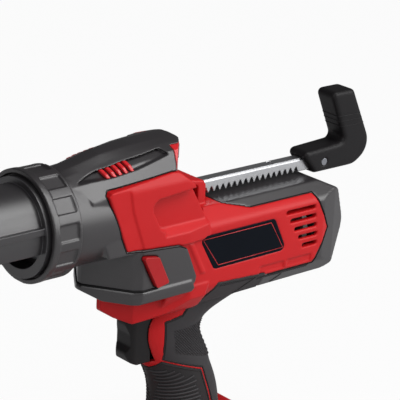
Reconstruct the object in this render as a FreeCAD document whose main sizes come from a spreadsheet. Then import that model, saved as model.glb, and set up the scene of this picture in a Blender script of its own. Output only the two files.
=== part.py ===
import FreeCAD, Part
import math
import os
from types import SimpleNamespace

import Sketcher
from FreeCAD import Placement, Rotation, Vector

doc = FreeCAD.newDocument("cordless_caulking_tool")
sheet = doc.addObject("Spreadsheet::Sheet", "dims")

# Driving sizes in millimetres.
SIZES = {
    # Datums of the whole tool
    "axis_height": 240.0,
    "body_depth": 100.0,
    "body_half_width": 33.0,
    "overrun": 60.0,
    "skin": 2.5,
    "seam": 0.3,
    # Cartridge cradle and ring nut
    "ring_radius": 36.0,
    "ring_length": 21.0,
    "ring_rim": 4.5,
    "ring_rear_lip": 2.0,
    "flute_depth": 1.5,
    "ring_lip": 2.4,
    "spigot_length": 12.0,
    "spigot_radius": 30.6,
    "thread_gap": 0.4,
    "cradle_bore": 51.5,
    "cradle_wall": 2.0,
    "cradle_reach": 222.0,
    "bead_radius": 31.8,
    "bead_length": 5.6,
    "flange_length": 3.0,
    "rail_height": 2.0,
    "rail_width": 4.2,
    "end_cup_length": 16.0,
    "end_plate": 4.0,
    "nozzle_hole": 20.0,
    # Rack rod, plunger and pull handle
    "rod_width": 9.0,
    "rod_height": 9.0,
    "rod_chamfer": 1.2,
    "rod_gap": 0.3,
    "rack_module": 1.6,
    "rod_tail": 135.0,
    "plunger_place": 229.0,
    "plunger_thick": 7.0,
    "plunger_radius": 23.5,
    "plunger_screw_radius": 7.0,
    "plunger_screw_head": 3.0,
    "plunger_stud": 14.0,
    "plunger_stud_radius": 3.0,
    "rod_hole": 5.5,
    "handle_half_width": 9.0,
    "handle_round": 3.5,
    "handle_bend": 14.0,
    "handle_span": 64.0,
    "handle_height": 55.0,
    "handle_drop": 7.0,
    "handle_pin": 5.0,
    "socket_depth": 24.0,
    # Nose, frame and dial
    "neck_radius": 32.0,
    "shoulder_round": 9.0,
    "chin_round": 6.0,
    "core_inset": 4.0,
    "scoop_depth": 2.4,
    "frame_step": 0.8,
    "window_depth": 6.0,
    "window_bevel": 4.5,
    "guide_plate": 3.0,
    "guide_radius": 22.0,
    "guide_screw_ring": 18.0,
    "guide_screw_radius": 1.6,
    "guide_screw_head": 3.0,
    "guide_screw_length": 14.0,
    "rear_guide_length": 8.0,
    "rear_guide_wall": 3.0,
    "dial_radius": 16.0,
    "dial_thick": 8.0,
    "dial_gap": 0.4,
    "dial_stem_radius": 3.0,
    "pot_half_width": 6.0,
    "pot_thick": 5.0,
    "bezel_thick": 2.0,
    # Housing shells
    "motor_drop": 38.0,
    "motor_bay_radius": 26.0,
    "badge_thick": 1.0,
    "rib_height": 0.8,
    "vent_height": 3.0,
    "vent_pitch": 6.5,
    "grip_half_depth": 27.0,
    "grip_half_width": 15.5,
    "grip_wall": 4.5,
    "foot_half_width": 37.0,
    "foot_back": 70.0,
    "foot_front": 44.0,
    "foot_round": 14.0,
    "foot_shoulder": 9.0,
    "foot_bottom": 46.0,
    "foot_height": 26.0,
    "screw_radius": 1.6,
    "screw_head_radius": 3.2,
    "screw_head": 2.6,
    "screw_reach": 12.0,
    "screw_sink": 16.0,
    # Drive train
    "shaft_radius": 4.0,
    "shaft_gap": 0.05,
    "press_gap": 0.02,
    "spur_module": 1.5,
    "wheel_face": 6.0,
    "wheel_side": 12.0,
    "pinion_face": 11.0,
    "bevel_face": 5.5,
    "bevel_hub_radius": 8.0,
    "gear_bay_half_width": 19.0,
    "bush_radius": 7.0,
    "bush_length": 4.5,
    "bush_seat_gap": 0.1,
    "sun_module": 0.9,
    "planet_face": 9.0,
    "gear_case_radius": 25.6,
    "gear_case_length": 26.0,
    "gear_case_wall": 3.0,
    "carrier_thick": 3.0,
    "planet_pin_radius": 2.2,
    "rotor_radius": 2.5,
    "backlash": 0.3,
    "bevel_backlash": 0.6,
    "motor_radius": 18.0,
    "motor_length": 58.0,
    "motor_boss_radius": 6.5,
    "motor_boss": 4.0,
    "mount_thick": 4.0,
    "fan_radius": 23.0,
    "fan_thick": 7.0,
    "fan_hub_radius": 6.0,
    "fan_blade": 1.4,
    "bay_gap": 0.4,
    # Trigger, switch and cross button
    "trigger_half_width": 8.5,
    "trigger_nose_round": 7.0,
    "trigger_gap": 0.5,
    "trigger_travel": 6.0,
    "switch_half_width": 10.8,
    "switch_depth": 20.0,
    "stem_radius": 3.0,
    "button_cap": 3.8,
    "button_gap": 0.3,
    "button_round": 1.2,
    "bolt_radius": 3.5,
    "bolt_travel": 2.5,
    "board_thick": 1.6,
    "board_half_width": 11.0,
    # Battery
    "battery_half_width": 38.0,
    "battery_back": 72.0,
    "battery_front": 46.0,
    "battery_round": 12.0,
    "battery_base_round": 5.0,
    "battery_split": 24.0,
    "battery_wall": 2.6,
    "rail_neck_half": 20.0,
    "rail_head_half": 25.0,
    "rail_neck_height": 6.0,
    "rail_head_height": 7.0,
    "rail_gap": 0.4,
    "rail_back": 58.0,
    "cell_radius": 9.0,
    "cell_length": 65.0,
    "cell_pitch": 18.6,
    "cell_gap": 0.3,
    "latch_half_width": 14.0,
    "latch_thick": 7.0,
    "latch_height": 20.0,
    "latch_tooth": 4.0,
    "latch_tooth_thick": 4.0,
    "latch_travel": 4.5,
    "latch_gap": 0.4,
    "terminal_half_width": 14.0,
    "terminal_length": 24.0,
    "terminal_height": 5.0,
    "blade_thick": 1.0,
    "blade_height": 5.0,
    "blade_length": 16.0,
}

# Tooth and flute counts, and the pressure angle in degrees.
RACK_PINION_TEETH = 12
SPUR_PINION_TEETH = 12
SPUR_WHEEL_TEETH = 22
BEVEL_PINION_TEETH = 12
BEVEL_WHEEL_TEETH = 18
SUN_TEETH = 12
PLANET_TEETH = 18
RING_TEETH = SUN_TEETH + 2 * PLANET_TEETH
PLANETS = 3
RING_FLUTES = 13
FAN_BLADES = 9
PRESSURE_ANGLE = math.radians(25)


class Length:
    """A length held as a number and as the sheet expression that gives it."""

    def __init__(self, number, text):
        self.number = number
        self.text = text

    def __add__(self, other):
        other = as_length(other)
        return Length(self.number + other.number, f"({self.text} + {other.text})")

    __radd__ = __add__

    def __sub__(self, other):
        other = as_length(other)
        return Length(self.number - other.number, f"({self.text} - {other.text})")

    def __neg__(self):
        return Length(-self.number, f"(0 - {self.text})")

    def __mul__(self, share):
        return Length(self.number * share, f"({self.text} * ({share}))")

    __rmul__ = __mul__

    def __truediv__(self, count):
        return Length(self.number / count, f"({self.text} / {count})")


def as_length(value):
    """Return a Length; plain zero is the only bare number that comes in."""
    if isinstance(value, Length):
        return value
    return Length(float(value), "0")


def fill_sheet():
    """Write each size into the sheet and return the sizes as lengths."""
    lengths = {}
    for row, (alias, value) in enumerate(SIZES.items(), start=1):
        sheet.set(f"A{row}", alias)
        sheet.set(f"B{row}", str(value))
        sheet.setAlias(f"B{row}", alias)
        lengths[alias] = Length(value, f"dims.{alias}")
    doc.recompute()
    return SimpleNamespace(**lengths)


D = fill_sheet()
NODES = {}


def node(name, piece):
    """Give a finished piece its node name."""
    piece.Label = name
    NODES[name] = piece
    return piece


def bind(piece, **lengths):
    """Tie properties to the sheet; a double underscore in a key stands for a dot."""
    for key, value in lengths.items():
        piece.setExpression(key.replace("__", "."), as_length(value).text)


def place(piece, ahead=0, beside=0, above=0):
    """Tie the place of a piece to the sheet."""
    bind(piece, Placement__Base__x=ahead, Placement__Base__y=beside, Placement__Base__z=above)
    return piece


# Outlines are shares of the body's depth (along and up) and of its half width (across).
def ahead(share):
    return D.body_depth * share


def above(share):
    return D.axis_height + D.body_depth * share


def beside(share):
    return D.body_half_width * share


def side(shares):
    return [(ahead(u), above(w)) for u, w in shares]


def both_sides(corners):
    """Close a half outline, given as (across, up), with its mirror image."""
    mirrored = [(-across, up) for across, up in reversed(corners) if across.number > 0]
    return corners + mirrored


def front(shares):
    return both_sides([(beside(v), above(w)) for v, w in shares])


def plan(shares):
    half = [(ahead(u), beside(v)) for u, v in shares]
    return half + [(u, -v) for u, v in reversed(half) if v.number > 0]


def inset(corners, depth):
    """Move each edge of a closed outline inwards by one depth."""
    points = [(u.number, w.number) for u, w in corners]
    count = len(points)
    area = sum(
        points[i][0] * points[(i + 1) % count][1] - points[(i + 1) % count][0] * points[i][1]
        for i in range(count)
    )
    turn = 1 if area > 0 else -1
    moved = []
    for i in range(count):
        normals = []
        for a, b in ((i - 1, i), (i, (i + 1) % count)):
            run = points[b][0] - points[a][0]
            rise = points[b][1] - points[a][1]
            size = math.hypot(run, rise)
            normals.append((-turn * rise / size, turn * run / size))
        (ux, uz), (vx, vz) = normals
        reach = 1 + ux * vx + uz * vz
        moved.append(
            (corners[i][0] + depth * ((ux + vx) / reach), corners[i][1] + depth * ((uz + vz) / reach))
        )
    return moved


ROLES = {"plan": "XY_Plane", "side": "XZ_Plane", "front": "YZ_Plane"}


def new_body(name):
    return doc.addObject("PartDesign::Body", name)


def origin_feature(body, role):
    return next(item for item in body.Origin.OriginFeatures if item.Role == role)


def sketch_on(body, view, name, offset=0):
    """Start a sketch on one of the body's own planes, moved along the plane's normal."""
    sketch = body.newObject("Sketcher::SketchObject", name)
    sketch.AttachmentSupport = (origin_feature(body, ROLES[view]), [""])
    sketch.MapMode = "FlatFace"
    bind(sketch, AttachmentOffset__Base__z=offset)
    return sketch


def draw_outline(sketch, corners):
    """Draw a closed outline of straight edges and tie each corner to the sheet."""
    count = len(corners)
    points = [Vector(u.number, w.number, 0) for u, w in corners]
    for i in range(count):
        sketch.addGeometry(Part.LineSegment(points[i], points[(i + 1) % count]), False)
    for i in range(count):
        sketch.addConstraint(Sketcher.Constraint("Coincident", i, 2, (i + 1) % count, 1))
    for i, (u, w) in enumerate(corners):
        for kind, value in (("DistanceX", u), ("DistanceY", w)):
            index = sketch.addConstraint(Sketcher.Constraint(kind, -1, 1, i, 1, value.number))
            sketch.setExpression(f"Constraints[{index}]", value.text)


def round_edges(body, base, picked, radius, name):
    """Round the picked edges of a feature with one radius from the sheet."""
    doc.recompute()
    names = [f"Edge{i}" for i, edge in enumerate(base.Shape.Edges, start=1) if picked(edge)]
    fillet = body.newObject("PartDesign::Fillet", name)
    fillet.Base = (base, names)
    bind(fillet, Radius=radius)
    return fillet


AXIS_OF_VIEW = {"plan": Vector(0, 0, 1), "side": Vector(0, 1, 0), "front": Vector(1, 0, 0)}


def flat_place(view, point):
    """Return the outline coordinates of a point in a view."""
    if view == "plan":
        return point.x, point.y
    if view == "side":
        return point.x, point.z
    return point.y, point.z


def near(one, other):
    return math.dist(one, other) < D.seam.number * 0.01


def prism(name, view, corners, low, high, rounds=(), rim=None):
    """Pad an outline from low to high across its view, with rounded corners and rims.

    rounds holds (corner numbers, radius) pairs; rim is a pair of (low, high or both) and a radius.
    """
    low = as_length(low)
    high = as_length(high)
    body = new_body(name)
    offset = -high if view == "side" else low
    sketch = sketch_on(body, view, f"{name}_outline", offset)
    draw_outline(sketch, corners)
    tip = body.newObject("PartDesign::Pad", f"{name}_pad")
    tip.Profile = sketch
    bind(tip, Length=high - low)
    axis = AXIS_OF_VIEW[view]
    for number, (numbers, radius) in enumerate(rounds):
        wanted = [(corners[i][0].number, corners[i][1].number) for i in numbers]

        def upright(edge, wanted=wanted):
            ends = [vertex.Point for vertex in edge.Vertexes]
            if len(ends) < 2 or near(flat_place(view, ends[0]), flat_place(view, ends[1])) is False:
                return False
            return any(near(flat_place(view, ends[0]), place_) for place_ in wanted)

        tip = round_edges(body, tip, upright, radius, f"{name}_round{number}")
    if rim:
        which, radius = rim
        levels = {"low": [low.number], "high": [high.number], "both": [low.number, high.number]}[which]

        def on_rim(edge):
            heights = [vertex.Point.dot(axis) for vertex in edge.Vertexes]
            return any(all(near((height,), (level,)) for height in heights) for level in levels)

        tip = round_edges(body, tip, on_rim, radius, f"{name}_rim")
    body.Tip = tip
    return body


TURNS = {
    "x": Rotation(),
    "y": Rotation(Vector(0, 0, 1), 90),
    "z": Rotation(Vector(0, 1, 0), -90),
}


def turned(name, axis, profile, at=(0, 0, 0)):
    """Revolve a profile of (along, radius) points about an axis through a place."""
    body = new_body(name)
    sketch = sketch_on(body, "side", f"{name}_profile")
    draw_outline(sketch, [(as_length(u), as_length(w)) for u, w in profile])
    spin = body.newObject("PartDesign::Revolution", f"{name}_turn")
    spin.Profile = sketch
    spin.ReferenceAxis = (sketch, ["H_Axis"])
    spin.Angle = 360
    body.Tip = spin
    body.Placement = Placement(Vector(), TURNS[axis])
    return place(body, *at)


def block(name, x_span, y_span, z_span):
    """A box from three (low, high) spans."""
    box = doc.addObject("Part::Box", name)
    spans = [(as_length(low), as_length(high)) for low, high in (x_span, y_span, z_span)]
    bind(
        box,
        Length=spans[0][1] - spans[0][0],
        Width=spans[1][1] - spans[1][0],
        Height=spans[2][1] - spans[2][0],
    )
    return place(box, spans[0][0], spans[1][0], spans[2][0])


DRUM_TURNS = {
    "x": Rotation(Vector(0, 1, 0), 90),
    "y": Rotation(Vector(1, 0, 0), -90),
    "z": Rotation(),
}


def drum(name, axis, radius, low, high, at):
    """A cylinder between two heights on an axis; at gives its two other coordinates."""
    low = as_length(low)
    cylinder = doc.addObject("Part::Cylinder", name)
    cylinder.Placement = Placement(Vector(), DRUM_TURNS[axis])
    bind(cylinder, Radius=radius, Height=as_length(high) - low)
    first, second = at
    spot = {"x": (low, first, second), "y": (first, low, second), "z": (first, second, low)}[axis]
    return place(cylinder, *spot)


def join(name, *pieces):
    fused = doc.addObject("Part::MultiFuse", name)
    fused.Shapes = list(pieces)
    return fused


def cut(name, base, *tools):
    taken = doc.addObject("Part::Cut", name)
    taken.Base = base
    taken.Tool = tools[0] if len(tools) == 1 else join(f"{name}_tools", *tools)
    return taken


def common(name, first, *others):
    """The space that all pieces share."""
    shared = first
    for number, other in enumerate(others):
        both = doc.addObject("Part::Common", name if number == len(others) - 1 else f"{name}_{number}")
        both.Base = shared
        both.Tool = other
        shared = both
    return shared


def solid(name, shape, placement=None):
    """A piece whose shape is worked out from the sheet's numbers."""
    piece = doc.addObject("Part::Feature", name)
    piece.Shape = shape
    piece.Placement = placement or Placement()
    return piece


def mirrored(name, piece):
    """The same piece on the other side of the tool's middle plane."""
    twin = doc.addObject("Part::Mirroring", name)
    twin.Source = piece
    twin.Normal = Vector(0, 1, 0)
    twin.Base = Vector(0, 0, 0)
    return twin


def oval(name, centre, height, half_depth, half_width):
    """One level section of the grip, begun at its back."""
    ring = doc.addObject("Part::Ellipse", name)
    ring.Placement = Placement(Vector(), Rotation(Vector(0, 0, 1), 180))
    bind(ring, MajorRadius=half_depth, MinorRadius=half_width)
    return place(ring, centre, 0, height)


def loft(name, sections):
    skin = doc.addObject("Part::Loft", name)
    skin.Sections = sections
    skin.Solid = True
    skin.Ruled = False
    return skin


WIDE = (-D.overrun, D.overrun)
TALL = (D.axis_height - D.body_depth * 2, D.axis_height + D.body_depth)


def across(name, shares, rounds=()):
    """A region of the side view, cut right through the tool."""
    return prism(name, "side", side(shares), *WIDE, rounds=rounds)


# Places along the tool that several pieces meet at.
nose_front_share = 1.04
drive_place_share = 0.20
NOSE_FRONT = ahead(nose_front_share)
SPIGOT_FRONT = NOSE_FRONT + D.spigot_length
RING_FRONT = NOSE_FRONT + D.ring_length
CRADLE_FRONT = RING_FRONT + D.cradle_reach
CRADLE_INNER = D.cradle_bore / 2
CRADLE_OUTER = CRADLE_INNER + D.cradle_wall
FLANGE_BACK = SPIGOT_FRONT + D.seam
FLANGE_FRONT = FLANGE_BACK + D.flange_length
LIP_BACK = FLANGE_FRONT + D.seam
LIP_FRONT = LIP_BACK + D.ring_lip
BEAD_BACK = LIP_FRONT + D.thread_gap
BEAD_FRONT = BEAD_BACK + D.bead_length
AXIS = (0, 0, D.axis_height)
MOTOR_AXIS = D.axis_height - D.motor_drop
DRIVE_PLACE = ahead(drive_place_share)
ROD_TOP = D.rod_height / 2
ROD_SIDE = D.rod_width / 2
RACK_PITCH_LINE = D.axis_height - ROD_TOP + D.rack_module
PINION_PITCH = D.rack_module * (RACK_PINION_TEETH / 2)
PINION_AXIS = RACK_PITCH_LINE - PINION_PITCH
FOOT_TOP = D.foot_bottom + D.foot_height


def make_ring_nut():
    """The fluted nut that clamps the cradle to the nose."""
    barrel = D.ring_radius - D.seam
    inner = D.spigot_radius + D.thread_gap
    mouth = D.bead_radius + D.thread_gap * 3
    profile = [
        (NOSE_FRONT, inner),
        (NOSE_FRONT, barrel),
        (RING_FRONT - D.ring_rim, barrel),
        (RING_FRONT - D.ring_rim, D.ring_radius),
        (RING_FRONT, D.ring_radius),
        (RING_FRONT, mouth),
        (LIP_FRONT, mouth),
        (LIP_FRONT, CRADLE_OUTER + D.thread_gap),
        (LIP_BACK, CRADLE_OUTER + D.thread_gap),
        (LIP_BACK, inner),
    ]
    body = turned("ring_nut", "x", profile, AXIS)
    flute_half_angle_share = 0.31
    half_angle = 2 * math.pi / RING_FLUTES * flute_half_angle_share
    floor = barrel - D.flute_depth
    outer = D.ring_radius + D.flute_depth
    sketch = sketch_on(body, "front", "flute_outline", NOSE_FRONT + D.ring_rear_lip)
    draw_outline(sketch, [
        (outer * math.tan(half_angle), outer),
        (-outer * math.tan(half_angle), outer),
        (-floor * math.tan(half_angle), floor),
        (floor * math.tan(half_angle), floor),
    ])
    flute = body.newObject("PartDesign::Pocket", "flute")
    flute.Profile = sketch
    flute.Reversed = True
    bind(flute, Length=D.ring_length - D.ring_rim - D.ring_rear_lip)
    pattern = body.newObject("PartDesign::PolarPattern", "flutes")
    pattern.Originals = [flute]
    pattern.Axis = (origin_feature(body, "X_Axis"), [""])
    pattern.Angle = 360
    pattern.Occurrences = RING_FLUTES
    body.Tip = pattern
    node("ring_nut", body)


def make_cradle():
    """The inverted trough that holds the cartridge, its flange and its end cap."""
    cup_back = CRADLE_FRONT - D.end_plate - D.end_cup_length
    plate_back = CRADLE_FRONT - D.end_plate
    tube = turned("cradle_tube", "x", [
        (FLANGE_BACK, CRADLE_INNER),
        (FLANGE_BACK, CRADLE_OUTER),
        (BEAD_BACK, CRADLE_OUTER),
        (BEAD_BACK, D.bead_radius),
        (BEAD_FRONT, D.bead_radius),
        (BEAD_FRONT, CRADLE_OUTER),
        (plate_back, CRADLE_OUTER),
        (plate_back, CRADLE_INNER),
    ], AXIS)
    edge_angle = math.radians(-20)
    rail_low = D.axis_height + D.rail_width
    rail_span = (BEAD_FRONT, cup_back)
    rails = []
    for name, sign in (("left", 1), ("right", -1)):
        near_side = CRADLE_INNER * sign
        far_side = (CRADLE_OUTER + D.rail_height) * sign
        low, high = sorted((near_side, far_side), key=lambda size: size.number)
        rails.append(block(f"rail_{name}", rail_span, (low, high), (rail_low, rail_low + D.rail_width)))
    bore = drum("cradle_bore_cut", "x", CRADLE_INNER, FLANGE_BACK, plate_back, (0, D.axis_height))
    mouth = block(
        "cradle_mouth",
        (BEAD_FRONT, cup_back),
        WIDE,
        (D.axis_height - D.overrun, D.axis_height + CRADLE_OUTER * math.sin(edge_angle)),
    )
    ribbed = cut("cradle_rails", join("rails", *rails), bore)
    trough = cut("trough", tube, mouth)
    node("cradle_trough", join("cradle_trough", trough, ribbed))
    node("cradle_flange", turned("cradle_flange", "x", [
        (FLANGE_BACK, CRADLE_OUTER + D.press_gap),
        (FLANGE_BACK, D.spigot_radius),
        (FLANGE_FRONT, D.spigot_radius),
        (FLANGE_FRONT, CRADLE_OUTER + D.press_gap),
    ], AXIS))
    hole = D.nozzle_hole / 2
    node("cradle_end_cap", turned("cradle_end_cap", "x", [
        (plate_back, hole),
        (plate_back, CRADLE_OUTER),
        (CRADLE_FRONT - D.end_plate / 2, CRADLE_OUTER),
        (CRADLE_FRONT, CRADLE_OUTER - D.end_plate / 2),
        (CRADLE_FRONT, hole),
    ], AXIS))


# Outlines of the body's main volumes, each with the round of its corners.
hump_side_shares = [
    (1.04, 0.29), (1.04, 0.46), (0.15, 0.46), (0.105, 0.418), (0.07, 0.37), (0.06, 0.335),
    (0.075, 0.22), (0.07, -0.22), (0.79, -0.22), (0.86, 0.0), (0.93, 0.2),
]
hump_stations_shares = [
    (0.0, [(0.0, 0.418), (0.20, 0.413), (0.38, 0.399), (0.62, 0.370), (0.925, 0.22), (0.97, -0.24)]),
    (0.20, [(0.0, 0.418), (0.20, 0.413), (0.38, 0.399), (0.62, 0.370), (0.925, 0.22), (0.97, -0.24)]),
    (0.45, [(0.0, 0.413), (0.18, 0.407), (0.38, 0.382), (0.62, 0.346), (0.925, 0.21), (0.97, -0.24)]),
    (0.70, [(0.0, 0.393), (0.17, 0.385), (0.365, 0.348), (0.605, 0.310), (0.895, 0.195), (0.94, -0.24)]),
    (0.88, [(0.0, 0.350), (0.155, 0.343), (0.335, 0.312), (0.59, 0.268), (0.865, 0.17), (0.91, -0.24)]),
    (1.04, [(0.0, 0.318), (0.15, 0.314), (0.335, 0.299), (0.59, 0.252), (0.85, 0.155), (0.90, -0.22)]),
]
upper_front_shares = [
    (0.0, 0.46), (0.30, 0.455), (0.68, 0.365), (0.97, 0.20), (0.97, -0.24),
]
hump_plan_shares = [(1.05, 0.97), (0.30, 0.97), (0.205, 0.68), (0.115, 0.38), (0.06, 0.12)]
chin_side_shares = [
    (0.79, -0.16), (0.835, -0.31), (0.825, -0.43), (0.785, -0.50), (0.70, -0.56), (0.105, -0.56),
    (0.085, -0.47), (0.173, -0.26), (0.24, -0.228), (0.40, -0.16),
]
chin_front_shares = [(0.0, -0.1), (1.0, -0.1), (1.0, -0.50), (0.93, -0.57)]
band_front_shares = [(0.0, -0.1), (1.03, -0.1), (1.03, -0.535), (0.98, -0.58)]
chin_plan_shares = [(0.78, 0.06), (0.585, 0.90), (0.53, 1.0), (0.06, 1.0)]
band_side_shares = [
    (0.815, -0.485), (0.79, -0.515), (0.70, -0.57), (0.12, -0.57), (0.10, -0.545), (0.13, -0.485),
]
band_plan_shares = [(0.79, 0.06), (0.59, 0.93), (0.535, 1.03), (0.06, 1.03)]
frame_side_shares = [
    (0.785, 0.214), (0.805, 0.19), (0.65, -0.195), (0.24, -0.228), (0.173, -0.26), (-0.05, -0.26),
    (-0.03, -0.115), (0.124, 0.156), (0.235, 0.25), (0.29, 0.255),
]
frame_plan_shares = [(1.0, 0.97), (0.15, 0.97), (-0.15, 0.86)]
motor_side_shares = [
    (0.30, -0.075), (-1.09, -0.075), (-1.25, -0.15), (-1.37, -0.42), (-1.19, -0.715), (-0.60, -0.725),
    (0.0, -0.74), (0.30, -0.74),
]
motor_front_shares = [(0.0, -0.05), (0.44, -0.05), (0.88, -0.165), (0.88, -0.60), (0.54, -0.76)]
motor_plan_shares = [(0.35, 0.92), (-1.02, 0.92), (-1.20, 0.74), (-1.39, 0.46)]
boot_side_shares = [
    (0.62, -0.55), (0.62, -0.69), (0.56, -0.735), (0.48, -0.766), (0.0, -0.745), (-0.05, -0.55),
]
boot_plan_shares = [(0.62, 0.06), (0.48, 0.55), (0.10, 0.90), (-0.06, 0.90)]
boot_front_shares = [(0.0, -0.5), (0.93, -0.5), (0.91, -0.63), (0.74, -0.72), (0.42, -0.79)]
sleeve_side_shares = [
    (0.2, 0.13), (0.0, 0.105), (-0.11, 0.085), (-0.13, 0.05), (-0.13, -0.10), (0.2, -0.10),
]
sleeve_half_share = 0.40
core_length_shares = (0.02, 0.54)
core_height_shares = (-0.58, -0.14)
cap_region_shares = [
    (-0.20, 0.1), (-0.205, -0.075), (-0.43, -0.13), (-0.976, -0.13), (-1.117, -0.39), (-0.985, -0.615),
    (-0.56, -0.615), (-0.56, -0.90), (-1.6, -0.90), (-1.6, 0.1),
]
palm_region_shares = [
    (-0.555, -0.60), (-0.136, -0.578), (0.04, -0.812), (0.165, -0.842), (0.16, -1.115), (-0.165, -1.237),
    (-0.258, -1.495), (-0.32, -1.75), (-0.8, -1.75), (-0.8, -0.90), (-0.555, -0.90),
]
finger_region_shares = [
    (0.60, -1.19), (0.21, -1.18), (0.16, -1.128), (-0.155, -1.247), (-0.244, -1.498), (-0.305, -1.75),
    (0.60, -1.75),
]
scoop_region_shares = [
    (0.975, 0.262), (0.80, 0.312), (0.62, 0.342), (0.30, 0.380), (0.265, 0.350), (0.53, 0.300),
    (0.72, 0.278),
]
bezel_region_shares = [(0.0, 0.245), (0.245, 0.245), (0.215, 0.385), (0.0, 0.385)]
window_sill_share = -0.115
window_shares = [
    (0.494, 0.10), (0.378, window_sill_share), (-0.12, window_sill_share), (-0.12, 0.148),
]
window_bevel_shares = (-0.12, 0.35)
frame_edge_shares = [(0.86, 0.30), (0.66, 0.30), (0.615, 0.065), (0.495, -0.26), (0.86, -0.26)]
badge_shares = [(0.045, -0.23), (-0.61, -0.227), (-0.727, -0.466), (-0.094, -0.472)]
rib_shares = [(0.128, -0.262), (0.098, -0.262), (-0.012, -0.475), (0.018, -0.475)]
recess_shares = ((-0.50, -0.72), (-0.745, -0.965))
recess_height_shares = (-0.545, -0.60)
grip_sections_shares = [
    (-0.70, -0.14, 1.74, 1.16), (-0.834, -0.025, 1.253, 1.017), (-0.968, 0.052, 1.0, 0.97),
    (-1.101, 0.0, 0.977, 0.993), (-1.235, -0.065, 0.94, 1.035), (-1.369, -0.113, 0.965, 1.072),
    (-1.503, -0.133, 1.02, 1.10), (-1.636, -0.147, 1.05, 1.125),
]
grip_end_shares = (-0.16, 1.08, 1.15)


def three_way(name, volume, depth=0):
    """A volume bounded in the side, front and plan views, with its edges moved in by a depth."""
    side_outline, front_outline, plan_outline, rounds = volume
    depth = as_length(depth)
    views = []
    for view, corners in (("side", side_outline), ("front", front_outline), ("plan", plan_outline)):
        moved = inset(corners, depth) if depth.number else corners
        span = (-D.overrun, D.overrun)
        if view == "front":
            span = (-D.body_depth * 2, D.body_depth * 2)
        if view == "plan":
            span = TALL
        views.append(prism(f"{name}_{view}", view, moved, *span, rounds=rounds.get(view, ())))
    return common(name, *views)


def ends(numbers, count):
    """Corner numbers on one half of a mirrored outline, with their mirror images."""
    return tuple(numbers) + tuple(count - 1 - n for n in numbers)


def hump_form(name, depth=0):
    """The hump that tapers to the neck, with its edges moved in by a depth."""
    depth = as_length(depth)
    body = new_body(f"{name}_taper")
    stations = []
    for number, (u, shares) in enumerate(hump_stations_shares):
        corners = front(shares)
        station = sketch_on(body, "front", f"{name}_station{number}", ahead(u))
        draw_outline(station, inset(corners, depth) if depth.number else corners)
        stations.append(station)
    taper = body.newObject("PartDesign::AdditiveLoft", f"{name}_loft")
    taper.Profile = stations[0]
    taper.Sections = stations[1:]
    taper.Ruled = True
    body.Tip = taper
    side_outline = side(hump_side_shares)
    plan_outline = plan(hump_plan_shares)
    if depth.number:
        side_outline = inset(side_outline, depth)
        plan_outline = inset(plan_outline, depth)
    side_view = prism(f"{name}_side", "side", side_outline, *WIDE, rounds=(((3, 4), D.chin_round),))
    plan_view = prism(f"{name}_plan", "plan", plan_outline, *TALL)
    return common(name, body, side_view, plan_view)


def chin_volume():
    count = len(plan(chin_plan_shares))
    return (
        side(chin_side_shares),
        front(chin_front_shares),
        plan(chin_plan_shares),
        {
            "side": (((1, 2, 3), D.chin_round), ((7, 8), D.chin_round)),
            "plan": ((ends((1,), count), D.chin_round),),
        },
    )


def band_volume():
    count = len(plan(band_plan_shares))
    return (
        side(band_side_shares),
        front(band_front_shares),
        plan(band_plan_shares),
        {"plan": ((ends((1,), count), D.chin_round),)},
    )


def motor_volume():
    upper = front(motor_front_shares)
    last = len(upper)
    count = len(plan(motor_plan_shares))
    return (
        side(motor_side_shares),
        upper,
        plan(motor_plan_shares),
        {
            "side": (((1, 2), D.shoulder_round), ((3, 4), D.shoulder_round * 1.4)),
            "front": (
                ((1, 2, last - 1, last - 2), D.chin_round),
                ((3, 4, last - 3, last - 4), D.shoulder_round),
            ),
            "plan": ((ends((2, 3), count), D.shoulder_round),),
        },
    )


def boot_volume():
    upper = front(boot_front_shares)
    last = len(upper)
    count = len(plan(boot_plan_shares))
    return (
        side(boot_side_shares),
        upper,
        plan(boot_plan_shares),
        {
            "side": (((1, 2), D.handle_round),),
            "front": (((2, 3, last - 2, last - 3), D.chin_round),),
            "plan": ((ends((2,), count), D.chin_round),),
        },
    )


def grip_volume(name, wall=0, levels=slice(None)):
    """The raked oval grip, with its surface moved in by a wall."""
    sections = []
    for number, (w, u, deep, wide) in enumerate(grip_sections_shares[levels]):
        sections.append(oval(
            f"{name}_{number}", ahead(u), above(w),
            D.grip_half_depth * deep - wall, D.grip_half_width * wide - wall,
        ))
    u, deep, wide = grip_end_shares
    sections.append(oval(
        f"{name}_end", ahead(u), FOOT_TOP - D.foot_shoulder,
        D.grip_half_depth * deep - wall, D.grip_half_width * wide - wall,
    ))
    return loft(name, sections)


def twin_cut(name, shares, depth_from, rounds=()):
    """A region of the side view cut in from both sides, down to one distance from the middle."""
    left = prism(f"{name}_left", "side", side(shares), depth_from, D.overrun, rounds=rounds)
    return join(name, left, mirrored(f"{name}_right", left))


def rod_channel(name, low, high):
    half = ROD_SIDE + D.rod_gap
    return block(name, (low, high), (-half, half), (D.axis_height - half, D.axis_height + half))


def screw(name, axis, head_at, spot, sizes, sink=1):
    """A pan head screw; sink is the direction, along its axis, in which it is driven."""
    head_radius, head, shank_radius, reach = sizes
    spans = [(head_at, head_at + head * sink), (head_at + head * sink, head_at + (head + reach) * sink)]
    pieces = []
    for part_name, radius, span in (("head", head_radius, spans[0]), ("shank", shank_radius, spans[1])):
        low, high = sorted(span, key=lambda size: size.number)
        pieces.append(drum(f"{name}_{part_name}", axis, radius, low, high, spot))
    return join(name, *pieces)


def spread(name, pieces):
    """Several like pieces held as one group."""
    group = doc.addObject("Part::Compound", name)
    group.Links = pieces
    return group


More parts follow.
